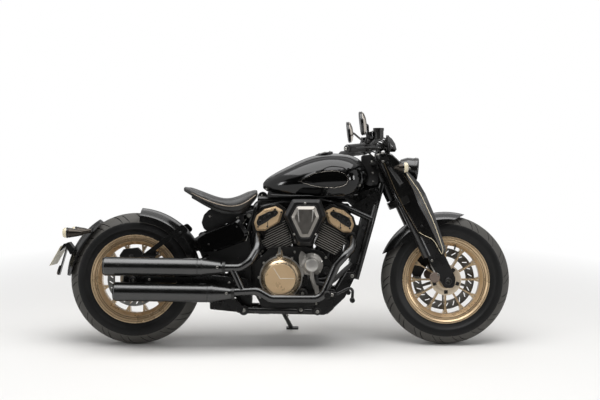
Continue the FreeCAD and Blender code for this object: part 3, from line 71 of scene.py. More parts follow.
bpy.ops.object.camera_add()
camera = bpy.context.object
camera.data.lens = 72
camera.matrix_world = parked @ Matrix.Translation((0.046, -6.0, 0.7165)) @ Matrix.Rotation(math.pi / 2, 4,
        "X")
bpy.context.scene.camera = camera
bpy.context.scene.view_settings.view_transform = "Standard"


# ---- studio ---------------------------------------------------------------------------------------------
# A plain pale floor that fades into a white room. One wide soft lamp hangs overhead, a narrow one stands at
# each end of the near side, and a long one lights the far side from above.
def linear(hex_colour):
    """An sRGB hex colour as the linear values that the shaders take."""
    channels = [int(hex_colour[i:i + 2], 16) / 255 for i in (1, 3, 5)]
    return tuple(c / 12.92 if c <= 0.04045 else ((c + 0.055) / 1.055) ** 2.4 for c in channels) + (1.0,)


def add_node(tree, kind, settings=None, **inputs):
    """A node with its settings. An input is a value or the output that feeds it, named with _ for spaces."""
    node = tree.nodes.new(kind)
    for name, value in (settings or {}).items():
        setattr(node, name, value)
    for name, value in inputs.items():
        socket = node.inputs[int(name[2:]) if name.startswith("in") else name.replace("_", " ")]
        if isinstance(value, bpy.types.NodeSocket):
            tree.links.new(value, socket)
        else:
            socket.default_value = value
    return node


def seen_directly(tree):
    """1 for what the camera sees, straight or in a reflection or through glass."""
    path = add_node(tree, "ShaderNodeLightPath")
    straight = add_node(tree, "ShaderNodeMath", {"operation": "MAXIMUM"},
                        in0=path.outputs["Is Camera Ray"], in1=path.outputs["Is Glossy Ray"])
    return add_node(tree, "ShaderNodeMath", {"operation": "MAXIMUM"}, in0=straight.outputs[0],
                    in1=path.outputs["Is Transmission Ray"]).outputs[0]


ROOM_LIGHT = 0.3
world = bpy.data.worlds.new("studio")
world.use_nodes = True
world.node_tree.nodes.clear()
ambient = add_node(world.node_tree, "ShaderNodeBackground", Color=linear("#FFFFFF"), Strength=ROOM_LIGHT)
white = add_node(world.node_tree, "ShaderNodeBackground", Color=linear("#FFFFFF"), Strength=1.0)
room = add_node(world.node_tree, "ShaderNodeMixShader", in0=seen_directly(world.node_tree),
                in1=ambient.outputs[0], in2=white.outputs[0])
add_node(world.node_tree, "ShaderNodeOutputWorld", Surface=room.outputs[0])
bpy.context.scene.world = world

bpy.ops.mesh.primitive_circle_add(vertices=64, radius=40, fill_type="NGON")
floor = bpy.context.object
floor.name = "floor"
paper = bpy.data.materials.new("matt_white_paper")
paper.use_nodes = True
tree = paper.node_tree
tree.nodes.clear()
place = add_node(tree, "ShaderNodeTexCoord").outputs["Object"]
away = add_node(tree, "ShaderNodeVectorMath", {"operation": "LENGTH"}, in0=place).outputs["Value"]
fade = add_node(tree, "ShaderNodeMapRange", Value=away, From_Min=1.0, From_Max=3.0).outputs[0]
fade = add_node(tree, "ShaderNodeMath", {"operation": "MULTIPLY"}, in0=fade,
                in1=seen_directly(tree)).outputs[0]
matt = add_node(tree, "ShaderNodeBsdfDiffuse", Color=linear("#E4E3E1"))
lit = add_node(tree, "ShaderNodeEmission", Color=linear("#FFFFFF"), Strength=1.0)
mix = add_node(tree, "ShaderNodeMixShader", in0=fade, in1=matt.outputs[0], in2=lit.outputs[0])
add_node(tree, "ShaderNodeOutputMaterial", Surface=mix.outputs[0])
floor.data.materials.append(paper)

# place, what it is aimed at, width, depth, power
LAMPS = {
    "overhead": ((0.0, -0.7, 3.1), (0.0, -0.65, 0.0), 3.8, 2.5, 122),
    "front_right": ((3.1, -2.4, 1.4), (0.3, 0.0, 0.5), 0.4, 1.2, 20),
    "rear_right": ((-3.1, -2.4, 1.4), (-0.3, 0.0, 0.5), 0.4, 1.2, 18),
    "far_side": ((0.0, 2.6, 2.2), (0.0, 0.0, 0.5), 3.6, 1.2, 16),
}
for name, (spot, target, width, depth, power) in LAMPS.items():
    bpy.ops.object.light_add(type="AREA", location=spot)
    lamp = bpy.context.object
    lamp.name = name
    lamp.data.shape = "RECTANGLE"
    lamp.data.size, lamp.data.size_y, lamp.data.energy = width, depth, power
    lamp.rotation_euler = (Vector(target) - Vector(spot)).to_track_quat("-Z", "Y").to_euler()

# Dark cloth hangs behind the camera and grey cloth on the far side, where only reflections meet them, because
# black enamel needs something dark to mirror.
for name, side, shade in (("near_cloth", -1, "#1C1C1C"), ("far_cloth", 1, "#8C8C8C")):
    bpy.ops.mesh.primitive_plane_add(size=1, location=(0, side * 9, 4.6), rotation=(math.pi / 2, 0, 0))
    cloth = bpy.context.object
    cloth.name = name
    cloth.scale = (26, 10, 1)
    bpy.ops.object.transform_apply(location=True, rotation=True, scale=True)
    cloth.visible_camera = cloth.visible_diffuse = cloth.visible_transmission = cloth.visible_shadow = False
    felt = bpy.data.materials.new(f"{name}_felt")
    felt.use_nodes = True
    felt.node_tree.nodes.clear()
    shine = add_node(felt.node_tree, "ShaderNodeEmission", Color=linear(shade), Strength=1.0)
    add_node(felt.node_tree, "ShaderNodeOutputMaterial", Surface=shine.outputs[0])
    cloth.data.materials.append(felt)


# ---- frame ----------------------------------------------------------------------------------------------
# The backbone, downtubes and bolted lower cradle are welded steel tube and plate, blasted and powder coated
# black: half gloss, with a fine orange peel, rubbed to a dull grey along the sharp edges.
def new_finish(name, slot, colours, rough, patch_mm=60, grain_mm=1.5, relief_mm=0.02, edge_mm=0.8, worn=None,
               wear=0.6, stretch=(1, 1, 1), **shader):
    """A surface whose colour drifts between two shades over patches, with a fine grain in its relief that
    stretch draws out into brush marks, softened edges and, where worn is given, that colour along them."""
    material = bpy.data.materials.new(name)
    material["slot"] = slot or ""
    material.use_nodes = True
    tree = material.node_tree
    tree.nodes.clear()
    place = add_node(tree, "ShaderNodeTexCoord").outputs["Object"]
    patches = add_node(tree, "ShaderNodeTexNoise", Vector=place, Scale=1000 / patch_mm, Detail=4.0,
                       Roughness=0.6).outputs["Fac"]
    colour = add_node(tree, "ShaderNodeMix", {"data_type": "RGBA"}, Factor=patches)
    colour.inputs[6].default_value, colour.inputs[7].default_value = (linear(c) for c in colours)
    colour = colour.outputs[2]
    spread = add_node(tree, "ShaderNodeMapRange", Value=patches, From_Min=0.3, From_Max=0.7,
                      To_Min=rough * 0.85, To_Max=min(1.0, rough * 1.15)).outputs[0]
    stretched = add_node(tree, "ShaderNodeMapping", Vector=place, Scale=stretch).outputs[0]
    grain = add_node(tree, "ShaderNodeTexNoise", Vector=stretched, Scale=1000 / grain_mm,
                     Detail=2.0).outputs["Fac"]
    soft = add_node(tree, "ShaderNodeBevel", {"samples": 4}, Radius=edge_mm / 1000).outputs[0]
    relief = add_node(tree, "ShaderNodeBump", Height=grain, Distance=relief_mm / 1000, Strength=1.0,
                      Normal=soft).outputs[0]
    if worn:
        flat = add_node(tree, "ShaderNodeNewGeometry").outputs["Normal"]
        turn = add_node(tree, "ShaderNodeVectorMath", {"operation": "DOT_PRODUCT"}, in0=soft, in1=flat)
        edge = add_node(tree, "ShaderNodeMapRange", Value=turn.outputs["Value"], From_Min=0.97, From_Max=0.80,
                        To_Max=wear).outputs[0]
        mixed = add_node(tree, "ShaderNodeMix", {"data_type": "RGBA"}, Factor=edge)
        tree.links.new(colour, mixed.inputs[6])
        mixed.inputs[7].default_value = linear(worn)
        colour = mixed.outputs[2]
    surface = add_node(tree, "ShaderNodeBsdfPrincipled", Base_Color=colour, Roughness=spread, Normal=relief,
                       **shader)
    add_node(tree, "ShaderNodeOutputMaterial", Surface=surface.outputs[0])
    return material


def coat(material, *nodes):
    """Gives CAD nodes this finish."""
    for name in nodes:
        frame["nodes"][name].data.materials[0] = material


def at(x, y, z):
    """A place on the upright machine, given in millimetres."""
    return Vector((x, y, z)) / 1000


def settle(piece, body, material):
    """Leans a finished piece with the machine, gives it its finish and hangs it on its body."""
    piece.data.transform(parked @ piece.matrix_world)
    piece.matrix_world = Matrix.Identity(4)
    piece.data.materials.clear()
    piece.data.materials.append(material)
    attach(piece, body)
    return piece


def close_up(piece, sharp=35):
    """Merges what meets, turns every face outwards, leaves edit mode and shades smoothly up to an angle."""
    bpy.ops.mesh.select_mode(type="VERT")
    bpy.ops.mesh.select_all(action="SELECT")
    bpy.ops.mesh.remove_doubles(threshold=0.00002)
    bpy.ops.mesh.normals_make_consistent(inside=False)
    bpy.ops.object.mode_set(mode="OBJECT")
    bpy.ops.object.shade_smooth_by_angle(angle=math.radians(sharp))
    return piece


def pick_faces(piece, wanted):
    """In edit mode, selects only the faces whose middle and normal pass the test, in its own frame."""
    bpy.ops.mesh.select_mode(type="FACE")
    bpy.ops.mesh.select_all(action="DESELECT")
    bpy.ops.object.mode_set(mode="OBJECT")
    for face in piece.data.polygons:
        face.select = wanted(face.center, face.normal)
    bpy.ops.object.mode_set(mode="EDIT")


def take_up(*pieces):
    """Selects these pieces alone, with the first one active."""
    bpy.ops.object.select_all(action="DESELECT")
    for piece in pieces:
        piece.select_set(True)
    bpy.context.view_layer.objects.active = pieces[0]


def joined(pieces, name):
    """Several pieces made into one."""
    take_up(*pieces)
    if len(pieces) > 1:
        bpy.ops.object.join()
    pieces[0].name = name
    return pieces[0]


def copies(model, name, spots):
    """The model set at each place along each direction, every copy with its own mesh, joined as one piece."""
    made = []
    for place, direction, *size in spots:
        copy = bpy.data.objects.new(name, model.data.copy())
        turn = Vector((0, 0, 1)).rotation_difference(Vector(direction)).to_matrix().to_4x4()
        copy.matrix_world = Matrix.Translation(at(*place)) @ turn @ Matrix.Scale(size[0] if size else 1, 4)
        bpy.context.collection.objects.link(copy)
        made.append(copy)
    return joined(made, name)


def on_face(node, start, way, size=1.0, sunk=0.0):
    """Where a line from start along way first meets a CAD node: the place, the face's normal, and a size.
    The place is sunk so far below the face, all in millimetres on the upright machine."""
    hit, place, normal, _ = frame["nodes"][node].ray_cast(parked @ at(*start), parked.to_3x3() @ Vector(way))
    if not hit:
        raise ValueError(f"nothing of {node} lies ahead of {start}")
    place = (parked.inverted() @ place) * 1000
    normal = parked.to_3x3().inverted() @ normal
    return tuple(place - normal * sunk), tuple(normal), size


def on_side(node, *spots, size=1.0, side=-1, sunk=0.3, both=False):
    """Places on a node's right side (side=-1) or left side, seen square on, given by x and z."""
    found = []
    for x, z in spots:
        for way in ((-1, 1) if both else (side,)):
            found.append(on_face(node, (x, way * 600, z), (0, -way, 0), size, sunk))
    return found


def put_away(model):
    """Takes a model off the scene, where only its copies are wanted."""
    bpy.context.collection.objects.unlink(model)
    return model


powder_coat = new_finish("black_powder_coated_steel", "frame_black", ("#070707", "#0B0B0A"), 0.28,
                         relief_mm=0.01, worn="#34322F", Specular_IOR_Level=0.5)
coat(powder_coat, "frame_spine", "frame_downtubes", "frame_cradle", "engine_hanger")

# Socket-head bolts: zinc-plated steel, turned, with a rounded rim and a six-sided socket pressed in the head.
zinc_plate = new_finish("zinc_plated_steel", "bare_steel", ("#A6A49E", "#B8B6B0"), 0.3, patch_mm=8,
                        edge_mm=0.3, Metallic=1.0)
black_oxide = new_finish("black_oxide_steel", "cast_black", ("#101010", "#191817"), 0.34, patch_mm=8,
                         edge_mm=0.3, worn="#4A4846")


def round_head(name, sides, radius, depth, broken, wall, rise):
    """A head with a broken rim and a raised or sunk top, in millimetres, only to be copied."""
    bpy.ops.mesh.primitive_cylinder_add(vertices=sides, radius=radius / 1000, depth=depth / 1000,
                                        location=(0, 0, depth / 2000))
    head = bpy.context.object
    head.name = name
    bpy.ops.object.transform_apply(location=True)
    bpy.ops.object.mode_set(mode="EDIT")
    pick_faces(head, lambda middle, normal: normal.z > 0.9)
    bpy.ops.mesh.bevel(offset=broken / 1000, segments=1)
    pick_faces(head, lambda middle, normal: normal.z > 0.9)
    bpy.ops.mesh.inset(thickness=wall / 1000)
    bpy.ops.mesh.extrude_region_move(TRANSFORM_OT_translate={"value": (0, 0, rise / 1000)})
    return put_away(close_up(head))


bolt = round_head("bolt_head", 12, 6, 6, 0.9, 1.6, -3.6)
# Washers with a raised flange, pressed steel, blackened.
washer = round_head("washer", 20, 13, 2, 0.6, 4.5, 1.2)


def fasten(name, spots, body="chassis", material=zinc_plate, model=bolt):
    """Bolts, or copies of another model, set at these spots as one piece."""
    return settle(copies(model, name, spots), body, material)


frame_bolts = on_side("frame_cradle", (-229, 177), (50, 177), (131, 171), (301, 345), size=1.4, both=True)
fasten("frame_washers", frame_bolts, material=black_oxide, model=washer)
fasten("frame_bolts", [(Vector(place) + Vector(way) * 2.6, way, size) for place, way, size in frame_bolts])
plate_bolts = on_side("frame_downtubes", (331, 405), both=True)
plate_bolts += on_side("frame_downtubes", (390, 663), (420, 700), both=True)
fasten("frame_plate_bolts", plate_bolts, material=black_oxide)


# ---- swingarm, shock absorber and axle ------------------------------------------------------------------
# The swingarm is a welded steel box section in the frame's black. A coil-over damper lies between its brace
# and the frame, with a chromed rod, and the hollow axle is clamped by a nut on a block with adjuster bolts.
coat(powder_coat, "swingarm", "side_stand", "foot_controls", "tail_fender", "plate_holder")
coat(zinc_plate, "rear_axle", "front_axle", "shock_absorber")
arm_bolts = on_side("swingarm", (-690, 328), (-300, 312), both=True)
fasten("swingarm_bolts", arm_bolts)


# Each maker below hangs its piece on a body with its material, or leaves it loose where the body is None.


def smooth_curve(name, points, steps):
    """A smooth curve through its control points, with so many steps to each."""
    curve = bpy.data.curves.new(name, "CURVE")
    curve.dimensions = "3D"
    spline = curve.splines.new("NURBS")
    spline.points.add(len(points) - 1)
    for point, place in zip(spline.points, points):
        point.co = (*place, 1)
    spline.order_u, spline.use_endpoint_u, spline.resolution_u = 3, True, steps
    curve = bpy.data.objects.new(name, curve)
    bpy.context.collection.objects.link(curve)
    return curve


def bent_rod(name, body, material, route, radius, sides=8):
    """A tube along a smooth line through its route's control points, with flat ends, as a mesh."""
    rod = smooth_curve(name, [at(*place) for place in route], 8)
    rod.data.bevel_depth, rod.data.bevel_resolution = radius / 1000, sides // 4
    rod.data.use_fill_caps = True
    take_up(rod)
    bpy.ops.object.convert(target="MESH")
    rod = bpy.context.object
    bpy.ops.object.mode_set(mode="EDIT")
    return settle(close_up(rod, 40), body, material)


# The damper's coil spring and its rod, from the brace up to the frame.
coil = []
for i in range(8 * 6 + 1):
    turn, rise = i / 8 * math.tau, i / 48
    middle = Vector((-376 + 138 * rise, 0, 478 + 132 * rise))
    across = Vector((-0.69, 0, 0.72)) * math.cos(turn) + Vector((0, 1, 0)) * math.sin(turn)
    coil.append(middle + across * 33)
bent_rod("shock_spring", "chassis", black_oxide, coil, 4.5)


# ---- engine case ----------------------------------------------------------------------------------------
# The crankcase is cast aluminium under satin black paint, so a fine sand texture shows, and the paint is thin
# on its edges. Zinc-plated bolts hold its covers all the way round.


def drawn(name, line):
    """A piece that is only the line through these places, in edit mode with all of it selected."""
    bpy.ops.mesh.primitive_plane_add(size=0.001, location=line[0])
    piece = bpy.context.object
    piece.name = name
    bpy.ops.object.transform_apply(location=True)
    bpy.ops.object.mode_set(mode="EDIT")
    bpy.ops.mesh.select_mode(type="VERT")
    bpy.ops.mesh.select_all(action="SELECT")
    bpy.ops.mesh.merge(type="CENTER")
    for before, after in zip(line, line[1:]):
        bpy.ops.mesh.extrude_vertices_move(TRANSFORM_OT_translate={"value": after - before})
    bpy.ops.mesh.select_all(action="SELECT")
    return piece


def turned_piece(name, body, material, profile, centre, axis, up=(0, 0, 1), steps=48, sharp=35):
    """A piece spun round an axis through centre: its profile is (along the axis, radius), in millimetres."""
    axis, up, centre = Vector(axis).normalized(), Vector(up), at(*centre)
    up = (up - axis * up.dot(axis)).normalized()
    line = [centre + (axis * along + up * radius) / 1000 for along, radius in profile]
    piece = drawn(name, line)
    bpy.ops.mesh.spin(steps=steps, angle=math.tau, center=centre, axis=axis)
    close_up(piece, sharp)
    return settle(piece, body, material) if body else piece


def cut_out(name, body, material, outline, depth, corner=0.0, rim=0.6, sharp=30):
    """A piece cut to an outline of places and as thick as depth, in millimetres, with its edges broken."""
    places = [at(*place) for place in outline]
    piece = drawn(name, places + places[:1])
    bpy.ops.mesh.remove_doubles(threshold=0.00002)
    bpy.ops.mesh.edge_face_add()
    if corner:
        bpy.ops.mesh.select_all(action="SELECT")
        bpy.ops.mesh.bevel(offset=corner / 1000, segments=4, affect="VERTICES")
    bpy.ops.mesh.select_all(action="SELECT")
    bpy.ops.mesh.extrude_region_move(TRANSFORM_OT_translate={"value": Vector(depth) / 1000})
    bpy.ops.mesh.select_all(action="SELECT")
    bpy.ops.mesh.normals_make_consistent(inside=False)
    if rim:
        bpy.ops.mesh.select_mode(type="EDGE")
        bpy.ops.mesh.select_all(action="DESELECT")
        bpy.ops.mesh.edges_select_sharp(sharpness=math.radians(60))
        bpy.ops.mesh.bevel(offset=rim / 1000, segments=2)
    close_up(piece, sharp)
    return settle(piece, body, material) if body else piece


def upright(name, body, material, outline, y, thick, **edges):
    """A piece cut to an outline of x and z that stands along the machine at y."""
    return cut_out(name, body, material, [(x, y, z) for x, z in outline], (0, thick, 0), **edges)


def on_circle(x, z, radius, angles):
    """Places by x and z round a middle, at these angles in degrees."""
    return [(x + radius * math.cos(math.radians(a)), z + radius * math.sin(math.radians(a))) for a in angles]


black_cast = new_finish("painted_cast_aluminium", "cast_black", ("#0B0B0A", "#121110"), 0.36, patch_mm=40,
                        grain_mm=1.2, relief_mm=0.03, worn="#6A6762", wear=0.7, Specular_IOR_Level=0.4)
grey_cast = new_finish("bare_cast_aluminium", "cast_grey", ("#827F7B", "#989590"), 0.45, patch_mm=30,
                       grain_mm=1.2, relief_mm=0.08, worn="#B5B3AE", Metallic=0.6)
coat(black_cast, "crankcase", "upper_yoke", "lower_yoke", "hand_controls", "front_caliper", "rear_caliper",
     "oil_filter")
coat(grey_cast, "water_pump", "rear_pulley")
clear_of_pump = on_circle(-47, 338, 109, range(60, 340, 40))
fasten("clutch_flange_bolts", on_side("crankcase", *clear_of_pump))
fasten("case_bolts", on_side("crankcase", (126, 208), (172, 434), (-150, 452), (-150, 240), (20, 462),
        both=True))
# A bracket with light edges, cast in bare aluminium, sits between the clutch and the pump.
upright("hose_bracket", "chassis", grey_cast, [(52, 470), (76, 452), (58, 392), (66, 345), (54, 340),
        (44, 392), (40, 440)], -150, 9, corner=6)
# Upright ribbed block beside the filter, and the cap of the oil filler behind the pump.
for i in range(7):
    upright(f"case_rib_{i}", "chassis", black_cast, [(62, 300 + 8 * i), (84, 300 + 8 * i),
            (84, 304 + 8 * i), (62, 304 + 8 * i)], -150, 26, rim=0.8)
turned_piece("oil_filler", "chassis", black_cast, [(0, 0), (0, 20), (22, 20), (26, 17), (26, 12), (23, 10),
        (23, 0)], (172, -122, 370), (0, -1, 0))


# ---- cylinders ------------------------------------------------------------------------------------------
# Cast barrels and heads under black paint, whose fins are machined bare along their edges, so that a row of
# thin pale lines shows on each. Over each head go two gold covers, with the rockers in the slot between.


def standing(side, y, size, spots):
    """Places by x and z that stand at y on one side of the machine, facing outwards."""
    return [((x, side * y, z), (0, side, 0), size) for x, z in spots]


def mirrored(side, route):
    """A route given for the left side, on either side."""
    return [(x, side * y, z) for x, y, z in route]


coat(black_cast, "cylinder_front", "cylinder_rear")
gold_paint = new_finish("gold_painted_cast_covers", "gold_cover_paint", ("#BFA27D", "#CBB08C"), 0.3,
                        patch_mm=70, grain_mm=1.0, relief_mm=0.02, edge_mm=1.0, worn="#EFE2C8", wear=0.8,
                        Metallic=0.35)
coat(gold_paint, "head_covers", "left_covers")
BANKS = {"rear": math.radians(25.5), "front": math.radians(-27.5)}


def on_bank(bank, x, z):
    """The x and z of a place on a cylinder that is given upright over the crank, tilted with its bank."""
    if bank == "front":
        x = -x
    tilt = BANKS[bank]
    return 60 + x * math.cos(tilt) - z * math.sin(tilt), 285 + x * math.sin(tilt) + z * math.cos(tilt)


# The fins' edges are machined bare, so that a row of pale lines shows on each barrel, over the dark wall that
# closes the gap round the studs. There are 12, and they grow towards the head as the barrel's own fins do.
bare_edge = new_finish("machined_fin_edge", "cast_grey", ("#8E8B85", "#A3A09A"), 0.4, patch_mm=20,
                       grain_mm=1.0, relief_mm=0.02, Metallic=0.3)


SIDES = ((-1, "right"), (1, "left"))
for bank in BANKS:
    wall = [on_bank(bank, x, z) for x, z in ((-70, 212), (48, 212), (58, 346), (-98, 346))]
    upright(f"barrel_wall_{bank}", "chassis", black_cast, wall, -60, 120, corner=8, rim=0)
    (x0, z0), (x1, z1) = on_bank(bank, 0, 0), on_bank(bank, 0, 3.7)
    edges = []
    for i in range(12):
        share, height = i / 11, 216.4 + i * 128 / 12
        middle, half_x, half_y = -10 - 10 * share, 62.5 + 20 * share, 76.5 + 12 * share
        outline = []
        for side_x, side_y in ((-1, -1), (1, -1), (1, 1), (-1, 1)):
            x, z = on_bank(bank, middle + side_x * half_x, height)
            outline.append((x, side_y * half_y, z))
        edges.append(cut_out("edge", None, None, outline, (x1 - x0, 0, z1 - z0), corner=24, rim=0))
    settle(joined(edges, f"fin_edges_{bank}"), "chassis", bare_edge)

# by x and z on a cylinder: the bolts of each cover, the slot's outline, and the nuts in it with their sizes
COVER_BOLTS = ((70, 380), (48, 411), (-48, 409), (-76, 362), (-30, 341))
ROCKER = ((-69, 374), (-66, 391), (-42, 410), (12, 411), (51, 397), (50, 382), (30, 375), (0, 375),
          (-16, 368), (-62, 366))
ROCKER_NUTS = ((-50, 384, 1.5), (-22, 391, 1.1), (6, 393, 1.5), (34, 389, 1.1))
cover_bolts, rocker_nuts = [], []
for bank in BANKS:
    for side, tag in SIDES:
        for x, z in COVER_BOLTS:
            x, z = on_bank(bank, x * 0.9, 388 + (z - 388) * 0.86)
            cover_bolts.append(on_face("head_covers", (x, side * 400, z), (0, -side, 0), 0.75, 0.3))
        upright(f"rocker_{bank}_{tag}", "chassis", black_cast, [on_bank(bank, *spot) for spot in ROCKER],
                side * 116, side * 12.6, corner=5, rim=1.2)
        for x, z, size in ROCKER_NUTS:
            x, z = on_bank(bank, x, z)
            rocker_nuts.append(((x, side * 128.4, z), (0, side, 0), size))
fasten("head_cover_bolts", cover_bolts, material=black_oxide)
fasten("rocker_bolts", rocker_nuts, material=black_oxide)
# A thin black seal runs across each cover from the slot to its rim.
for bank in BANKS:
    for side, tag in SIDES:
        seam = [on_bank(bank, x, z) for x, z in ((-18, 367), (-14.5, 367), (-25, 342), (-29, 342))]
        upright(f"cover_seam_{bank}_{tag}", "chassis", black_oxide, seam, side * 126, side * 2.4, rim=0)
# Between the barrels sit the throttle bodies on their manifold. A coil cover stands behind the rear barrel,
# and a finned rectifier below the front one, with a bolted plate over the swingarm's pivot.
throttles = [(14, 476), (108, 476), (150, 636), (-26, 636)]
upright("throttle_bodies", "chassis", black_cast, throttles, -46, 92, corner=16, rim=4)
for i, (x, z) in enumerate(((30, 510), (90, 510))):
    turned_piece(f"throttle_shaft_{i}", "chassis", grey_cast, [(0, 0), (0, 15), (8, 15), (11, 11), (11, 5),
            (7, 4), (7, 0)], (x, -46, z), (0, -1, 0), steps=24)
coil = [(-214, 440), (-104, 440), (-128, 520), (-168, 610), (-176, 690), (-222, 690)]
upright("coil_cover", "chassis", black_cast, coil, -34, 68, corner=10, rim=3)
rectifier = [(178, 384), (252, 396), (262, 500), (222, 522), (176, 470)]
upright("rectifier", "chassis", black_cast, rectifier, -50, 100, corner=8, rim=2)
for side, tag in SIDES:
    ribs = []
    for i in range(7):
        x, z = 188 + 9.5 * i, 398 + 1.6 * i
        rib = [(x, z), (x + 4, z), (x + 7, z + 78), (x + 3, z + 78)]
        ribs.append(upright("rib", None, None, rib, side * 49, side * 13, rim=0.8))
    settle(joined(ribs, f"rectifier_ribs_{tag}"), "chassis", black_cast)
    pivot = [(-346, 236), (-196, 232), (-186, 392), (-256, 408), (-330, 340)]
    upright(f"pivot_plate_{tag}", "chassis", black_cast, pivot, side * 52, side * 9, corner=14, rim=1.5)
    spots = standing(side, 61, 1.0, ((-322, 258), (-212, 254), (-206, 372), (-300, 340)))
    fasten(f"pivot_plate_bolts_{tag}", spots, material=black_oxide)
    spots = standing(side, 34, 1.1, ((-198, 460), (-140, 462), (-200, 672), (-196, 560)))
    fasten(f"coil_bolts_{tag}", spots)
    for name, route in (("side_loom", ((-236, 40, 700), (-214, 52, 660), (-196, 50, 600), (-210, 48, 540),
                                       (-190, 50, 470), (-160, 56, 430))),
                        ("fuel_hose", ((-80, 40, 700), (-110, 52, 690), (-150, 50, 680), (-176, 46, 640),
                                       (-170, 44, 560)))):
        bent_rod(f"{name}_{tag}", "chassis", black_oxide, mirrored(side, route), 5.5, sides=12)
# Moulded rubber leads run from the coil box to the spark plugs in the heads.
rubber = new_finish("moulded_rubber", "grip_rubber", ("#0E0E0E", "#161515"), 0.5, patch_mm=20, grain_mm=0.8,
                    relief_mm=0.04)
bent_rod("plug_lead_rear", "chassis", rubber,
         [(-30, -34, 660), (-40, -60, 700), (-110, -96, 690), (-118, -90, 640)], 4.0)
bent_rod("plug_lead_front", "chassis", rubber,
         [(150, -34, 660), (170, -60, 700), (236, -96, 690), (240, -90, 640)], 4.0)


# ---- clutch cover, water pump and their hoses -----------------------------------------------------------
# The clutch cover is cast bronze in colour on a bare flange, with a ribbed bevel round its flat gold face.
# Above it the pull lever is plated. The pump is bare cast aluminium with a polished cap, and rubber hoses
# leave it.
bronze = new_finish("dark_bronze_cast_cover", "gold_cover_paint", ("#A8957B", "#BBA98F"), 0.26, patch_mm=60,
                    grain_mm=1.0, relief_mm=0.03, edge_mm=1.6, worn="#E8DAC0", wear=0.8, Metallic=0.9)
coat(bronze, "clutch_cover")
turned_piece("clutch_flange", "chassis", grey_cast, [(0, 96), (0, 106), (14, 106), (17, 104), (17, 96)],
             (-47, -130, 338), (0, -1, 0), steps=72)
turned_piece("clutch_face", "chassis", gold_paint, [(0, 74.5), (2, 74.5), (4, 72.5), (4, 0)],
             (-50, -186, 334), (0, -1, 0), steps=96)
rib_spots = []
for i in range(34):
    angle = math.radians(48 + i * 2.6)
    x, z = -47 + 91 * math.cos(angle), 338 + 91 * math.sin(angle)
    rib_spots.append(((x, -164, z), (math.cos(angle) * 0.5, -0.86, math.sin(angle) * 0.5)))


def small_block(name, size, broken, lift=0):
    """A block with broken edges, in millimetres, only to be copied."""
    bpy.ops.mesh.primitive_cube_add(size=1, location=(0, 0, lift / 1000))
    block = bpy.context.object
    block.name = name
    block.scale = Vector(size) / 1000
    bpy.ops.object.transform_apply(location=True, scale=True)
    bpy.ops.object.mode_set(mode="EDIT")
    bpy.ops.mesh.select_all(action="SELECT")
    bpy.ops.mesh.bevel(offset=broken / 1000, segments=1)
    return put_away(close_up(block))


rib = small_block("bevel_rib", (1.6, 1.6, 3), 0.4, lift=0.5)
fasten("clutch_ribs", rib_spots, material=gold_paint, model=rib)
# Two bare machined lines cross the clutch cover's face from its middle.
pale_line = new_finish("bare_machined_groove", "cast_grey", ("#D6CFBF", "#E6E0D2"), 0.35, patch_mm=20,
                       relief_mm=0.01, Metallic=0.3)
for name, angle, length in (("wedge_line_front", 0, 68), ("wedge_line_rear", 122, 62)):
    c, s = math.cos(math.radians(angle)), math.sin(math.radians(angle))
    line = [(-50 + u * c - v * s, 336 + u * s + v * c)
            for u, v in ((-1.3, -1.3), (length, -1.3), (length, 1.3), (-1.3, 1.3))]
    upright(name, "chassis", pale_line, line, -189.6, -1.6, rim=0.4)
upright("clutch_lever", "chassis", zinc_plate, [(-60, 452), (-48, 452), (-46, 482), (-52, 488),
        (-60, 484)], -150, -7, corner=2.5, rim=1)
polished = new_finish("polished_aluminium", "cast_grey", ("#B9B6B1", "#CBC9C4"), 0.42, patch_mm=20,
                      relief_mm=0.01, Metallic=1.0)
turned_piece("pump_cap", "chassis", polished, [(0, 33), (3, 33), (7, 30), (9, 22), (10, 10), (10, 0)],
             (103, -181, 400), (0, -1, 0))
pump_bolts = on_circle(103, 400, 51, (20, 75, 130, 185, 320))
fasten("pump_bolts", on_side("water_pump", *pump_bolts, size=0.9))
hoses = (("pump_hose", [(123, -146, 300), (126, -146, 286), (130, -140, 262), (150, -128, 240),
                        (170, -120, 236)], 12),
         ("radiator_hose", [(126, -150, 352), (120, -150, 322), (146, -146, 306), (200, -134, 310),
                            (262, -110, 372), (300, -84, 400)], 11),
         ("oil_line", [(88, -146, 330), (86, -150, 350), (112, -152, 332), (162, -142, 330),
                       (180, -126, 344)], 6))
for name, route, radius in hoses:
    bent_rod(name, "chassis", grey_cast if name == "pump_hose" else rubber, route, radius, sides=16)
turned_piece("filter_nut", "chassis", zinc_plate, [(0, 0), (0, 9), (5, 9), (7, 7), (7, 0)],
             (58, -156, 262), (0, -1, 0), steps=6, sharp=20)
left_bolts = on_circle(60, 300, 90, (0, 40, 80, 280, 320))
fasten("generator_bolts", on_side("crankcase", *left_bolts, side=1))
fasten("sprocket_cover_bolts", on_side("left_covers", (-140, 258), (-50, 262), (-140, 354), (-60, 350),
        side=1))
fasten("generator_centre_bolt", on_side("left_covers", (60, 300), size=2.0, side=1))


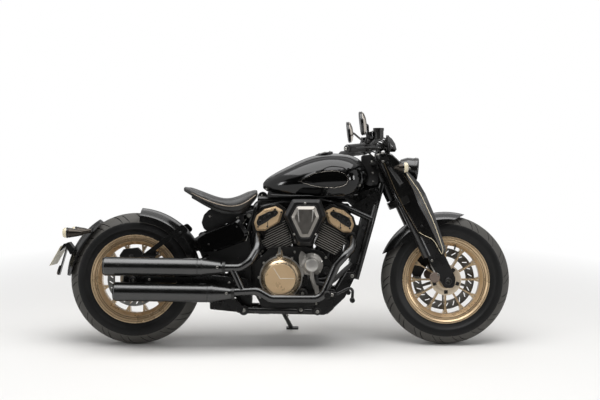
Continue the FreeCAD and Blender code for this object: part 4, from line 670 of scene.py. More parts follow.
# ---- air filter -----------------------------------------------------------------------------------------
# The six-sided housing is moulded in black nylon. Its lid is pressed aluminium, brushed along the machine,
# with a bright bevelled rim and two ribs that run down from the upper corners, and two bolts hold it.
nylon = new_finish("moulded_black_nylon", "black_plastic", ("#0B0B0B", "#111010"), 0.34, patch_mm=50,
                   grain_mm=0.9, relief_mm=0.02, edge_mm=2.0, worn="#55524E", wear=0.6,
                   Specular_IOR_Level=0.45)
coat(nylon, "air_filter_housing", "electrics_box", "inner_guards", "saddle_pan")
brushed = new_finish("brushed_aluminium", "brushed_cover", ("#74716C", "#86827D"), 0.32, patch_mm=30,
                     grain_mm=1.2, relief_mm=0.02, edge_mm=1.2, worn="#E4DFD3", wear=0.9,
                     stretch=(0.05, 1, 1), Metallic=0.9)
coat(brushed, "air_filter_lid")
HEX = [(9, 722), (146, 722), (174, 642), (103, 494), (35, 494), (-34, 642)]


def shrunk(outline, share):
    """The lid's outline drawn in towards its middle."""
    x0 = sum(x for x, z in outline) / len(outline)
    z0 = sum(z for x, z in outline) / len(outline)
    return [(x0 + (x - x0) * share, z0 + (z - z0) * share) for x, z in outline]


upright("air_filter_bezel", "chassis", nylon, shrunk(HEX, 0.72), -232, -12, corner=12, rim=3)
plate = upright("air_filter_plate", None, None, shrunk(HEX, 0.65), -238, -8, corner=9, rim=0)
bpy.ops.object.mode_set(mode="EDIT")
pick_faces(plate, lambda middle, normal: normal.y < -0.9)
bpy.ops.mesh.inset(thickness=0.0145, depth=0.0085)
settle(close_up(plate, 12), "chassis", brushed)
for name, rib_line in (("lid_rib_rear", [(33, 668), (39, 668), (42, 612), (40, 612)]),
                       ("lid_rib_front", [(106, 668), (112, 668), (104, 612), (102, 612)])):
    upright(name, "chassis", polished, rib_line, -252, -4.5, corner=0.8, rim=1.0)
fasten("air_filter_bolts", on_side("air_filter_housing", (19, 552), (120, 552), (70, 700)))


# ---- exhaust --------------------------------------------------------------------------------------------
# Two steel headers run into one pair of mufflers, all under heat-proof satin black enamel: a slight haze from
# heat, and a soft highlight along each tube. Clamps hold the mufflers, and dark liners show at their ends.
enamel = new_finish("heatproof_black_enamel", "exhaust_black", ("#050505", "#080807"), 0.24, patch_mm=70,
                    grain_mm=3.0, relief_mm=0.004, edge_mm=1.0, worn="#3A3835", wear=0.4,
                    Specular_IOR_Level=0.9)
coat(enamel, "exhaust_headers", "mufflers")
MUFFLER_Y, MUFFLER_R = -202, 46
for name, rear, front in (("upper", (-904, MUFFLER_Y, 397), (-322, MUFFLER_Y, 388)),
                          ("lower", (-855, MUFFLER_Y, 275), (-277, MUFFLER_Y, 266))):
    axis = (Vector(front) - Vector(rear)).normalized()
    turned_piece(f"muffler_liner_{name}", "chassis", black_cast, [(3, 22), (1, 37), (-1, 38.5), (-1, 40.5),
            (3, 41.5), (10, 41.5), (10, 36), (90, 30), (90, 8), (88, 8)], rear, axis)
    end = Vector(rear) + axis * 476
    turned_piece(f"muffler_band_{name}", "chassis", enamel, [(0, MUFFLER_R - 1), (0, MUFFLER_R + 1.4),
            (9, MUFFLER_R + 1.4), (9, MUFFLER_R - 1)], end - axis * 5, axis, steps=64)
    neck = Vector(front) - axis * 8
    turned_piece(f"header_clamp_{name}", "chassis", black_oxide, [(0, 24), (0, 31), (14, 31), (14, 24)],
                 neck, axis)
fasten("muffler_bolts", on_side("mufflers", (-352, 392), (-308, 268)))
# Collars clamp the headers to the heads, and one bracket carries both mufflers from the frame.
for name, spot, way in (("header_collar_front", (270, -62, 556), (0.5, -0.75, -0.45)),
                        ("header_collar_rear", (-128, -60, 572), (-0.5, -0.6, -0.5))):
    start = Vector(spot) + Vector(way) * 44
    turned_piece(name, "chassis", black_oxide, [(0, 21), (0, 29), (9, 29), (9, 21)], start, way)
upright("muffler_hanger", "chassis", powder_coat, [(-560, 372), (-500, 372), (-470, 300), (-500, 288),
        (-560, 300)], -152, 6, corner=10)


# ---- radiator -------------------------------------------------------------------------------------------
# The core is thin aluminium fins between flat tubes, painted black, so a fine grid shows. It is bolted to the
# downtubes, and its cap is plated pressed steel.
core_black = new_finish("painted_radiator_core", "black_plastic", ("#0D0D0D", "#151515"), 0.45, patch_mm=60,
                        grain_mm=2.2, relief_mm=0.5, stretch=(1, 0.15, 3), worn="#35342F")
coat(core_black, "radiator")
for i in range(24):
    x, z = 334 - 0.277 * (10 + i * 11), 392 + 0.963 * (10 + i * 11) - 12
    cut_out(f"core_tube_{i}", "chassis", nylon, [(x + 8, -66, z), (x + 10, -66, z + 2.5),
            (x + 10, 66, z + 2.5), (x + 8, 66, z)], (-1.5, 0, 0.4), rim=0)
turned_piece("radiator_cap", "chassis", zinc_plate, [(0, 0), (0, 20), (8, 22), (14, 20), (16, 12),
        (16, 0)], (236, -30, 656), (-0.2, 0, 1), up=(1, 0, 0))


# ---- wheels and tyres -----------------------------------------------------------------------------------
# Cast aluminium wheels in satin gold paint, with three thin dark rings inside the lip that are painted shade
# for turned grooves, and a pale machined flange round the hub. The tyres are black rubber with slanted
# grooves in pairs.


def turned_set(name, body, parts, centre, axis, **shape):
    """Turned pieces on one axis, whose own names go into the set's name."""
    for part, (material, profile) in parts.items():
        turned_piece(name.format(part), body, material, profile, centre, axis, **shape)


wheel_gold = new_finish("gold_painted_cast_wheel", "gold_wheel_paint", ("#C3A985", "#D2B996"), 0.28,
                        patch_mm=120, grain_mm=1.0, relief_mm=0.015, edge_mm=1.0, worn="#EAD8B8", wear=0.7,
                        Metallic=0.55)
coat(wheel_gold, "front_rim", "rear_rim")
# Painted shade: dark brown rings laid on the rim stand for the shade inside turned grooves.
painted_groove_shade = new_finish("painted_groove_shade_on_gold_paint", "gold_wheel_paint", ("#5A4632", "#6B553E"), 0.4,
                         patch_mm=60, relief_mm=0.01, Metallic=0.4)
machined = new_finish("machined_aluminium", "cast_grey", ("#C2B29C", "#CFC0AA"), 0.36, patch_mm=30,
                      grain_mm=1.0, relief_mm=0.02, Metallic=0.7)
# The tread is scrubbed grey by the road, and the sidewalls keep the smooth black of the mould.
tread_rubber = new_finish("scrubbed_tread_rubber", "tyre_rubber", ("#3C3A37", "#4A4844"), 0.7, patch_mm=90,
                          grain_mm=1.6, relief_mm=0.06, edge_mm=0.8, worn="#5E5B57", wear=0.4)
# The same black lines the tread's grooves, where it is partly the unscrubbed mould and partly painted shade.
sidewall_and_groove_shade_rubber = new_finish("moulded_sidewall_and_groove_shade_rubber", "tyre_rubber", ("#060606", "#0A0A0A"), 0.46,
                             patch_mm=120, grain_mm=1.6, relief_mm=0.02, Specular_IOR_Level=0.3)
# each wheel's axle, tyre radius, half width, crown radius, rim lip radius and bead half width, in millimetres
WHEELS = {"front": (front_axle * 1000, 320.0, 67.0, 72.0, 216.0, 48.0),
          "rear": (rear_axle * 1000, 326.0, 77.0, 84.0, 219.0, 56.0)}


def grooved_tyre(wheel, pairs=18):
    """The tyre spun from its section, and its slanted grooves cut on both shoulders."""
    axle, radius, half, crown, lip, bead = WHEELS[wheel]
    side = []
    shoulder_y = half - 2
    middle = radius - crown
    top = math.asin(shoulder_y / crown)
    for i in range(9):
        a = top * i / 8
        side.append((crown * math.sin(a), middle + crown * math.cos(a)))
    shoulder_r = side[-1][1]
    flank_r = (shoulder_r + lip + 1) / 2 + 4
    side += [(half - 0.8, (shoulder_r * 2 + flank_r) / 3), (half, flank_r), (half - 1.5, flank_r - 9),
             (half - 2.6, flank_r - 10), (bead + 13, lip + 14), (bead + 9, lip + 6), (bead + 8, lip + 1),
             (bead, lip + 1), (bead, 203)]
    profile = [(-y, r) for y, r in reversed(side)] + side[1:] + [(-bead, 203)]
    tyre = turned_piece(f"{wheel}_tyre_tread", None, None, profile, axle, (0, 1, 0), steps=120, sharp=50)
    cutters = []
    for i in range(pairs):
        for lead, y0, y1, wide in ((0.0, 18, half + 6, 8.0), (7.5, 32, half + 6, 6.5)):
            for flank in (-1, 1):
                turn = math.radians(i * 360 / pairs + lead + (10 if flank > 0 else 0))
                rings = []
                for k in range(5):
                    share = k / 4
                    y = y0 + (y1 - y0) * share
                    depth_r = middle + math.sqrt(max(0.0, crown ** 2 - min(y, crown - 1) ** 2))
                    depth_r = max(depth_r, shoulder_r - 8)
                    angle = turn + math.radians(6.0 * share + 3.5 * share * share)
                    rings.append((y * flank, depth_r, angle, wide * (1.15 - 0.75 * share)))
                cutters.append(rings)
    bpy.ops.mesh.primitive_cube_add(size=0.001)
    knife = bpy.context.object
    knife.data.clear_geometry()
    places, faces = [], []
    for rings in cutters:
        start = len(places)
        for y, r, angle, wide in rings:
            for dr, dw in ((-4.5, -0.35), (-4.5, 0.35), (6, 0.5), (6, -0.5)):
                a = angle + dw * wide / r
                out = r + dr
                places.append(tuple(at(axle.x + out * math.sin(a), y, axle.z + out * math.cos(a))))
        for k in range(len(rings) - 1):
            for j in range(4):
                a, b = start + 4 * k + j, start + 4 * k + (j + 1) % 4
                faces.append((a, b, b + 4, a + 4))
        faces.append((start, start + 3, start + 2, start + 1))
        end = start + 4 * (len(rings) - 1)
        faces.append((end, end + 1, end + 2, end + 3))
    knife.data.from_pydata(places, [], faces)
    bpy.ops.object.mode_set(mode="EDIT")
    bpy.ops.mesh.select_all(action="SELECT")
    bpy.ops.mesh.normals_make_consistent(inside=False)
    bpy.ops.object.mode_set(mode="OBJECT")
    take_up(tyre)
    cut = tyre.modifiers.new("grooves", "BOOLEAN")
    cut.operation, cut.object, cut.solver = "DIFFERENCE", knife, "EXACT"
    bpy.ops.object.modifier_apply(modifier="grooves")
    bpy.data.objects.remove(knife)
    bpy.ops.object.shade_smooth_by_angle(angle=math.radians(40))
    return tyre


disc_steel = new_finish("ground_disc_steel", "disc_steel", ("#7C7B78", "#92918D"), 0.34, patch_mm=40,
                        grain_mm=1.0, relief_mm=0.03, Metallic=1.0)
coat(disc_steel, "front_disc", "rear_disc")
for wheel, (axle, radius, half, crown, lip, bead) in WHEELS.items():
    body = f"{wheel}_wheel"
    tyre = settle(grooved_tyre(wheel), body, tread_rubber)
    tyre.data.materials.append(sidewall_and_groove_shade_rubber)
    hub = parked @ (axle / 1000)
    spin = (parked.to_3x3() @ Vector((0, 1, 0))).normalized()
    for polygon in tyre.data.polygons:
        reach = polygon.center - hub
        across = reach.dot(spin)
        out = (reach - spin * across).length * 1000
        sunk = crown - math.hypot(out - (radius - crown), across * 1000)
        # the sidewall's smooth rubber starts below the shoulder, and the grooves' walls and floors have it
        # too, where its black is partly unscrubbed rubber and partly painted shade
        if out < (radius - crown + lip) / 2 + 18 or abs(polygon.normal.dot(spin)) > 0.93 or sunk > 1.2:
            polygon.material_index = 1
    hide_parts(f"{wheel}_tyre")
    # the rim's grooves are rings of painted shade, laid at the depth that its wall has in a gap between two
    # spokes
    gap = math.radians(15 if wheel == "front" else 29)
    for side, tag in SIDES:
        for name, r in (("lip_line", lip - 7), ("inner_line", lip - 19), ("foot_line", lip - 27)):
            start = (axle.x + r * math.sin(gap), side * 400, axle.z + r * math.cos(gap))
            spot, _, _ = on_face(f"{wheel}_rim", start, (0, -side, 0))
            profile = [(0, r - 1.3), (0, r + 1.3), (0.9, r + 1.0), (0.9, r - 1.0)]
            turned_piece(f"{wheel}_{name}_{tag}", body, painted_groove_shade, profile, (axle.x, spot[1], axle.z),
                         (0, side, 0), steps=120)
    turned_set(wheel + "_hub_{}", body, {
        "ring": (machined, [(0, 50), (0, 76.5), (1.6, 76.0), (2.2, 74), (2.2, 50)]),
        "face": (machined, [(0, 24), (0, 52), (1.6, 51), (2.2, 49), (2.2, 27), (1.6, 25)])},
               (axle.x, -44, axle.z), (0, -1, 0), steps=72)
    turned_piece(f"{wheel}_axle_cap", body, black_oxide, [(0, 16), (9, 16), (12, 13), (12, 8.5), (4, 8.5)],
                 (axle.x, -73, axle.z), (0, -1, 0))
    # blackened bolts, each on a flat black square whose colour is painted shade standing for a square pocket
    # round it
    spots, pocket_shades = [], []
    for i in range(5):
        a = math.radians(72 * i + 36)
        out, along = Vector((math.sin(a), 0, math.cos(a))), Vector((math.cos(a), 0, -math.sin(a)))
        middle = axle + out * 60 + Vector((0, -45.6, 0))
        pocket_shade = [middle + out * u + along * v for u, v in ((-9, -9), (-9, 9), (9, 9), (9, -9))]
        pocket_shades.append(cut_out("pocket_shade", None, None, pocket_shade, (0, -1.2, 0), corner=2, rim=0))
        spots.append((middle + Vector((0, -1.2, 0)), (0, -1, 0), 0.9))
    settle(joined(pocket_shades, f"{wheel}_hub_pocket_shades"), body, black_oxide)
    fasten(f"{wheel}_hub_bolts", spots, body, black_oxide)
    a = math.radians(16 if wheel == "front" else 40)
    stem = [(axle.x + r * math.sin(a), y, axle.z + r * math.cos(a))
            for r, y in ((200, -20), (186, -22), (168, -34))]
    bent_rod(f"{wheel}_valve", body, rubber, stem, 4.0)
    turned_piece(f"{wheel}_valve_cap", body, black_oxide, [(0, 0), (0, 4.6), (10, 4.6), (12, 3), (12, 0)],
                 stem[-1], Vector(stem[-1]) - Vector(stem[0]))
for wheel, side, y in (("front", 1, 64.5), ("rear", -1, 90.5)):
    axle = WHEELS[wheel][0]
    spots = standing(side, y, 0.9, on_circle(axle.x, axle.z, 48, range(54, -306, -72)))
    fasten(f"{wheel}_disc_bolts", spots, f"{wheel}_wheel", black_oxide)


# ---- drive belt -----------------------------------------------------------------------------------------
# The toothed belt is black rubber over cord. The pulley is cast aluminium, machined at its teeth, with bolts.
coat(rubber, "drive_belt", "grips", "front_brake_hose")
axle = WHEELS["rear"][0]
spots = standing(1, 104, 1.1, on_circle(axle.x, axle.z, 52, range(90, -270, -60)))
fasten("pulley_bolts", spots, "rear_wheel")
turned_piece("pulley_ring", "rear_wheel", machined, [(0, 62), (0, 70), (2, 69), (2, 63)],
             (axle.x, 104, axle.z), (0, 1, 0), steps=64)


# ---- fork -----------------------------------------------------------------------------------------------
# Dark tubes run in cast aluminium sliders, held by two cast yokes with pinch bolts. Long sheet covers over
# the legs are satin black enamel: a fold runs down each to its point, and pinstripes follow their front
# edges.
satin_black = new_finish("satin_black_enamel", "satin_black", ("#060606", "#090908"), 0.22, patch_mm=160,
                         grain_mm=4.0, relief_mm=0.003, edge_mm=1.0, worn="#4A4845", wear=0.55,
                         Specular_IOR_Level=0.7)
fork_black = new_finish("satin_black_cast_slider", "fork_metal", ("#0B0B0B", "#111010"), 0.28, patch_mm=60,
                        grain_mm=3.0, relief_mm=0.006, worn="#55534F", wear=0.6, Specular_IOR_Level=0.7)
coat(satin_black, "fork_shrouds", "front_fender", "rear_fender")
coat(fork_black, "fork_legs")
cream_stripe = new_finish("cream_pinstripe_enamel", "plate_sheet", ("#C9BDA0", "#D8CCB0"), 0.3, patch_mm=50,
                          relief_mm=0.005)
gold_stripe = new_finish("gold_pinstripe_enamel", "gold_cover_paint", ("#6E6048", "#7E6F55"), 0.3,
                         patch_mm=50, relief_mm=0.005)
yoke_bolts = on_side("upper_yoke", (450, 905), both=True, sunk=7)
clamp_bolts = [on_face("upper_yoke", (403, y, 1100), (0, 0, -1), 1.1) for y in (-52, -30, 30, 52)]
# The yokes' clamps end flush inside the covers, so both yokes are trimmed to 147 mm either side.
for name in ("upper_yoke", "lower_yoke"):
    yoke = bpy.data.objects.new(f"{name}_trimmed", frame["nodes"][name].data.copy())
    bpy.context.collection.objects.link(yoke)
    take_up(yoke)
    yoke.data.transform(parked.inverted())
    bpy.ops.object.mode_set(mode="EDIT")
    for side in (-1, 1):
        bpy.ops.mesh.select_all(action="SELECT")
        bpy.ops.mesh.remove_doubles(threshold=0.00002)
        bpy.ops.mesh.bisect(plane_co=(0, side * 0.147, 0), plane_no=(0, side, 0), use_fill=True,
                            clear_outer=True)
    settle(close_up(yoke), "steering", black_cast)
    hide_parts(name)


def smooth_line(route):
    """Places along a smooth line through its control points, in millimetres."""
    curve = smooth_curve("line", route, 10)
    places = [tuple(vertex.co) for vertex in bpy.data.meshes.new_from_object(curve).vertices]
    bpy.data.objects.remove(curve)
    return places


def laid_tape(name, body, material, node, route, half, side, high=0.25, thick=0.3):
    """A thin film along a line of x and z, pressed on a CAD node's right side (side=-1) or left side, as far
    as the node goes."""
    line = [(x, z) for x, _, z in smooth_line([(x, 0, z) for x, z in route])]
    rows = []
    for i, (x, z) in enumerate(line):
        before, after = line[max(0, i - 1)], line[min(len(line) - 1, i + 1)]
        along = Vector((after[0] - before[0], after[1] - before[1])).normalized()
        edges = [(x - along.y * w, side * 500, z + along.x * w) for w in (-half, half)]
        try:
            rows.append([on_face(node, edge, (0, -side, 0), sunk=-high)[0] for edge in edges])
        except ValueError:
            continue
    bpy.ops.mesh.primitive_plane_add(size=0.001)
    tape = bpy.context.object
    tape.name = name
    corners = [at(*place) for row in rows for place in row]
    faces = [(2 * i, 2 * i + 1, 2 * i + 3, 2 * i + 2) for i in range(len(rows) - 1)]
    tape.data.clear_geometry()
    tape.data.from_pydata(corners, [], faces)
    film = tape.modifiers.new("film", "SOLIDIFY")
    film.thickness, film.offset = thick / 1000, 0
    bpy.ops.object.modifier_apply(modifier="film")
    bpy.ops.object.mode_set(mode="EDIT")
    return settle(close_up(tape), body, material)


# each pinstripe: the line it follows, by x and z, its half width and its enamel
STRIPES = {
    "front": ([(568, 846), (598, 802), (628, 762), (664, 686), (698, 612), (722, 546), (740, 490),
               (746, 468), (738, 452)], 1.6, cream_stripe),
    "lower": ([(738, 452), (728, 466), (708, 506), (688, 530), (656, 540), (626, 560)], 1.3, cream_stripe),
    "outer": ([(552, 838), (586, 792), (614, 750), (650, 676), (684, 604), (708, 542), (727, 484)], 0.5,
              gold_stripe),
    "rear": ([(447, 918), (474, 852), (520, 742), (566, 654), (622, 562)], 0.6, gold_stripe),
}
for name, (line, half, colour) in STRIPES.items():
    for side, tag in SIDES:
        laid_tape(f"stripe_{name}_{tag}", "steering", colour, "fork_shrouds", line, half, side)

# A raised vent with a dark slot stands on each cover near its top, in line with the fork.
for side, tag in SIDES:
    along, across = Vector((0.55, 0, -0.835)), Vector((0.835, 0, 0.55))
    for name, half_long, half_wide, high, finish in (("vent", 54, 11, 3.2, satin_black),
                                                     ("vent_slot", 45, 4, 3.8, rubber)):
        ring = []
        for u, v in ((-1, -1), (1, -1), (1, 1), (-1, 1)):
            place = Vector((511, 0, 838)) + along * (u * half_long) + across * (v * half_wide)
            ring.append(on_face("fork_shrouds", (place.x, side * 500, place.z), (0, -side, 0), sunk=0.6)[0])
        depth = (0, side * (high + 0.6), 0)
        cut_out(f"shroud_{name}_{tag}", "steering", finish, ring, depth, corner=3, rim=0.9)
# A ladder of pressed ribs on the covers' lower rear edges, and the bolts that hold the covers.
rung = small_block("pressed_rung", (12, 2.4, 1.6), 0.6)
ladder = on_side("fork_shrouds", *[(572 + 5.6 * i, 652 - 10.2 * i) for i in range(9)], both=True, sunk=0.1)
fasten("shroud_ladder", ladder, "steering", satin_black, model=rung)
fasten("shroud_bolts", on_side("fork_shrouds", (474, 896), (640, 590), both=True), "steering", black_oxide)
fasten("yoke_bolts", yoke_bolts, "steering")
fasten("slider_pinch_bolts", on_side("fork_legs", (720, 352), (690, 420), both=True), "steering")
smoked_lens = new_finish("smoked_reflector_lens", "", ("#63574F", "#73665D"), 0.3, patch_mm=8, grain_mm=2.5,
                         relief_mm=0.25, Specular_IOR_Level=0.5)
# the fork leans back 25 degrees
FORK_UP = Vector((-0.4226, 0, 0.9063))
for side, tag in SIDES:
    upright(f"slider_slot_{tag}", "steering", zinc_plate, [(702, 362), (706, 366), (688, 398), (684, 394)],
            side * 141.2, side * 0.8, corner=1.5, rim=0.2)
    turned_piece(f"axle_nut_{tag}", "steering", black_oxide, [(0, 8), (0, 17), (9, 17), (12, 14.5),
            (12, 9), (4, 8)], (770, side * 139, 320), (0, side, 0), steps=6 if side > 0 else 32, sharp=25)
    # a round reflector on the back edge of each slider, behind the axle
    turned_piece(f"fork_reflector_{tag}", "steering", smoked_lens, [(0, 0), (0, 25), (5, 25.5),
            (7.5, 23.5), (8, 0)], (704, side * 137, 338), (0, side, 0))
    turned_piece(f"fork_plug_{tag}", "steering", zinc_plate, [(0, 0), (0, 21), (5, 21), (7, 18), (7, 9),
            (3, 8), (3, 0)], Vector((735.56, side * 120, 303.94)) + FORK_UP * 702, FORK_UP)
turned_piece("steering_nut", "steering", zinc_plate, [(0, 0), (0, 19), (10, 19), (14, 15), (14, 0)],
             Vector((708.37, 0, 291.26)) + FORK_UP * 697, FORK_UP, steps=6, sharp=25)


# ---- front fender and front brake -----------------------------------------------------------------------
# The fender is pressed steel under the same enamel, held to the sliders by bolts. The caliper is cast
# aluminium on the left leg, fed by a rubber hose with a crimped end.
fasten("fender_bolts", on_side("front_fender", (548, 500), (700, 600), both=True), "steering", black_oxide)
fasten("caliper_bolts", on_side("front_caliper", (632, 404), (664, 364), size=1.2, side=1), "steering")
turned_piece("hose_end", "steering", zinc_plate, [(0, 5), (0, 7.5), (18, 7.5), (22, 5)], (674, 81, 412),
             (-0.3, 0.05, 1))


# ---- handlebar, grips and controls ----------------------------------------------------------------------
# The bar is steel tube under satin enamel. Ribbed rubber grips, moulded switch pods with buttons, levers and
# two black fluid pots sit on it, and leads run from it to the steering head.


def ribbed(start, count, pitch, length, low, high):
    """The profile of a row of ribs round a sleeve."""
    return [(start + edge + i * pitch, radius) for i in range(count)
            for edge, radius in ((0, low), (1, high), (length - 1, high), (length, low))]


coat(satin_black, "handlebar", "mirrors", "headlight", "instrument")
for side, tag in SIDES:
    end = Vector((269, side * 385, 957))
    run = (Vector((408, side * 205, 978)) - end).normalized()
    profile = [(0, 9), (0, 19.5), (4, 19.5), (6, 17.6), *ribbed(8, 17, 6.6, 5.5, 17.6, 19.0), (122, 17.6),
               (124, 20.5), (128, 20.5), (128, 13)]
    grip = turned_piece(f"grip_{tag}", "steering", rubber, profile, end, run, steps=32, sharp=50)
    if side > 0:
        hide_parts("grips")
    turned_piece(f"bar_weight_{tag}", "steering", black_oxide, [(-11, 0), (-11, 13), (-8, 16.5), (1, 16.5),
            (1, 9)], end, run, steps=32)
    fasten(f"bar_end_bolt_{tag}", [(end - run * 10.5, -run, 1.2)], "steering")
    turned_piece(f"switch_pod_{tag}", "steering", nylon, [(0, 13), (0, 20), (3, 22.5), (30, 22.5),
            (33, 20), (33, 13)], end + run * 162, run, steps=24)
    for i, lift in enumerate((-0.3, 0.2, 0.7)):
        way = Vector((-1, 0, lift)).normalized()
        turned_piece(f"switch_{tag}_{i}", "steering", rubber, [(0, 0), (0, 5), (4, 5), (5, 4), (5, 0)],
                     end + run * (168 + 8 * i) + way * 21.5, way, up=(0, 1, 0), steps=16)
    hold = [(end + run * 146 + Vector((20, 0, lift * 9)), (0.9, 0, lift * 0.4), 0.8) for lift in (-1, 1)]
    fasten(f"perch_bolts_{tag}", hold, "steering")
    lead = [(330, 236, 974), (356, 214, 962), (392, 150, 938), (418, 100, 906), (430, 66, 872)]
    bent_rod("brake_lead" if side < 0 else "clutch_cable", "steering", rubber, mirrored(side, lead), 4.0)
    lead = [(342, 222, 962), (376, 200, 968), (428, 140, 966), (470, 88, 930)]
    bent_rod(f"switch_lead_{tag}", "steering", rubber, mirrored(side, lead), 3.0)
    # master cylinder along the bar with its capped reservoir, the mirror's clamp and its thick stem
    block = end + run * 132 + Vector((16, 0, 24))
    turned_piece(f"master_cylinder_{tag}", "steering", black_cast, [(0, 0), (0, 9), (4, 14), (50, 14),
            (54, 17), (70, 17), (74, 12), (74, 0)], block, run, steps=32)
    top = block + run * 34 + Vector((0, 0, 12))
    turned_piece(f"reservoir_{tag}", "steering", satin_black, [(0, 0), (0, 20), (4, 22), (24, 22),
            (25, 25), (33, 25), (35, 22), (35, 0)], top, (-0.15, 0, 1), up=(1, 0, 0), steps=32)
    corners = [top + Vector((-5 + 17 * u, 17 * v, 34 + 2.5 * u)) for u in (-0.7, 0.7) for v in (-0.7, 0.7)]
    fasten(f"reservoir_screws_{tag}", [(corner, (-0.15, 0, 1), 0.6) for corner in corners], "steering")
    root = end + run * 144 + Vector((0, 0, 16))
    stem = [root + Vector(step)
            for step in mirrored(side, ((0, 0, -8), (4, 0, 10), (14, 6, 34), (16, 8, 52)))]
    bent_rod(f"mirror_stem_{tag}", "steering", black_cast, stem, 8.0, sides=16)
    turned_piece(f"bar_clamp_{tag}", "steering", black_cast, [(0, 13), (0, 19), (2, 21), (16, 21),
            (18, 19), (18, 13)], end + run * 206, run, steps=24)
    for i, (lift, dx) in enumerate(((26, 0), (14, 10), (34, 18))):
        cable = [end + run * 196 + Vector((dx, 0, lift)), (424 + dx, side * 150, 1012 + lift / 2),
                 (470 + dx, side * 112, 990 + lift / 3), (482 + dx / 2, side * 84, 950),
                 (470, side * 62, 910)]
        bent_rod(f"bar_cable_{tag}_{i}", "steering", black_oxide, cable, 3.4)
fasten("bar_clamp_bolts", clamp_bolts, "steering")
# Behind the steering head a moulded cover hides the lock and the looms, with a bright screw at each end.
neck = [(352, 938), (398, 944), (430, 926), (438, 860), (436, 800), (392, 784), (368, 800), (352, 862)]
upright("neck_cover", "chassis", nylon, neck, -34, 68, corner=8, rim=3)
fasten("neck_screws", [((408, side * 34, z), (0, side, 0), 0.9) for side in (-1, 1) for z in (850, 806)])


# ---- headlight, indicators, instrument and mirrors ------------------------------------------------------
# Each bowl is spun steel with a satin black rim, enamelled on the headlight and satin chrome on the small
# lamps. The lenses are moulded polycarbonate, the dial is printed, and the mirrors are silvered glass.
lens_cream = new_finish("cream_polycarbonate_lens", "", ("#CFC4A8", "#DDD3B8"), 0.14, patch_mm=12,
                        grain_mm=3.0, relief_mm=0.2)
lens_clear = new_finish("headlight_polycarbonate", "", ("#8B8F92", "#A9ADAF"), 0.08, patch_mm=14,
                        grain_mm=6.0, relief_mm=0.3, stretch=(1, 6, 0.2))
mirror_glass = new_finish("silvered_mirror_glass", "", ("#C9CCCE", "#D2D5D6"), 0.04, patch_mm=200,
                          relief_mm=0.001, edge_mm=0.3, Metallic=1.0)
chrome = new_finish("satin_chrome", "", ("#A8A199", "#BBB4AA"), 0.2, patch_mm=60, relief_mm=0.002,
                    Metallic=1.0)
dial_black = new_finish("printed_dial", "", ("#08090A", "#0D0E10"), 0.08, patch_mm=40, relief_mm=0.001)
shell_metal = new_finish("satin_chromed_shell", "satin_black", ("#35322E", "#443F3A"), 0.3, patch_mm=30,
                         relief_mm=0.01, worn="#C9C2B6", wear=0.6, Metallic=1.0)
coat(shell_metal, "front_indicators", "tail_lamps")
lamp = Vector((585, 0, 872))
forward = Vector((1, 0, -0.1)).normalized()
turned_set("headlight_{}", "steering", {
    "rim": (satin_black, [(30, 56.5), (30, 59.5), (43, 60), (48, 57), (49, 52), (45, 51), (42, 54)]),
    "lens": (lens_clear, [(44, 52), (47, 46), (51, 32), (53.5, 16), (54, 0)]),
    "seam": (shell_metal, [(27, 57.2), (28.5, 57.2), (28.5, 56), (27, 56)])}, lamp, forward, steps=64)
fasten("headlight_bolts", on_side("headlight", (588, 872), both=True), "steering")
for side, tag in SIDES:
    turned_set("indicator_{}_" + tag, "steering", {
        "rim": (satin_black, [(-13, 23), (-13, 25.4), (-6, 25.8), (-5, 24.2), (-5, 23)]),
        "lens": (lens_cream, [(-6, 23.5), (-5, 24.6), (7, 24.2), (12, 21.5), (15.5, 14), (17, 0)])},
               (556, side * 178, 874), (1, 0, 0), steps=40)
pod = (478, 0, 998)
facing = (-0.8, 0, 0.6)
turned_set("instrument_{}", "steering", {
    "bezel": (satin_black, [(12, 37), (13, 39.5), (18, 40), (20, 38), (19, 34.5), (15, 34)]),
    "glass": (dial_black, [(15.5, 34.5), (16.6, 26), (17, 12), (17, 0)])},
           pod, facing, up=(0.6, 0, 0.8), steps=64)
marks = []
out, across = Vector(facing), Vector((0.6, 0, 0.8))
for i in range(25):
    turn = math.radians(-120 + 10 * i)
    spoke = across * math.cos(turn) + Vector((0, 1, 0)) * math.sin(turn)
    marks.append((Vector(pod) + out * 16.6 + spoke * 28, facing, 1.0 if i % 4 else 1.6))
bpy.ops.mesh.primitive_cylinder_add(vertices=8, radius=0.0009, depth=0.0008)
tick = bpy.context.object
tick.name = "tick"
bpy.ops.object.mode_set(mode="EDIT")
pick_faces(tick, lambda middle, normal: normal.z > 0.9)
bpy.ops.mesh.inset(thickness=0.0002)
put_away(close_up(tick))
fasten("dial_marks", marks, "steering", cream_stripe, model=tick)
# The mirrors' domed backs are chromed inside their black rims.
for side, tag, x in ((1, "left", 308), (-1, "right", 338)):
    turned_set("mirror_{}_" + tag, "steering", {
        "glass": (mirror_glass, [(7, 50), (9.8, 49), (10, 30), (10, 0)]),
        "rim": (satin_black, [(3, 55), (4, 57), (9, 55.5), (11, 52), (9.5, 49.5)]),
        "back": (chrome, [(-2.6, 56.4), (-3.4, 56.6), (-12.8, 46.8), (-18.9, 24.6), (-20.8, 0)])},
               (x, side * 372, 1076), Vector((-1, 0, -0.12)).normalized(), up=(-0.12, 0, 1), steps=56)


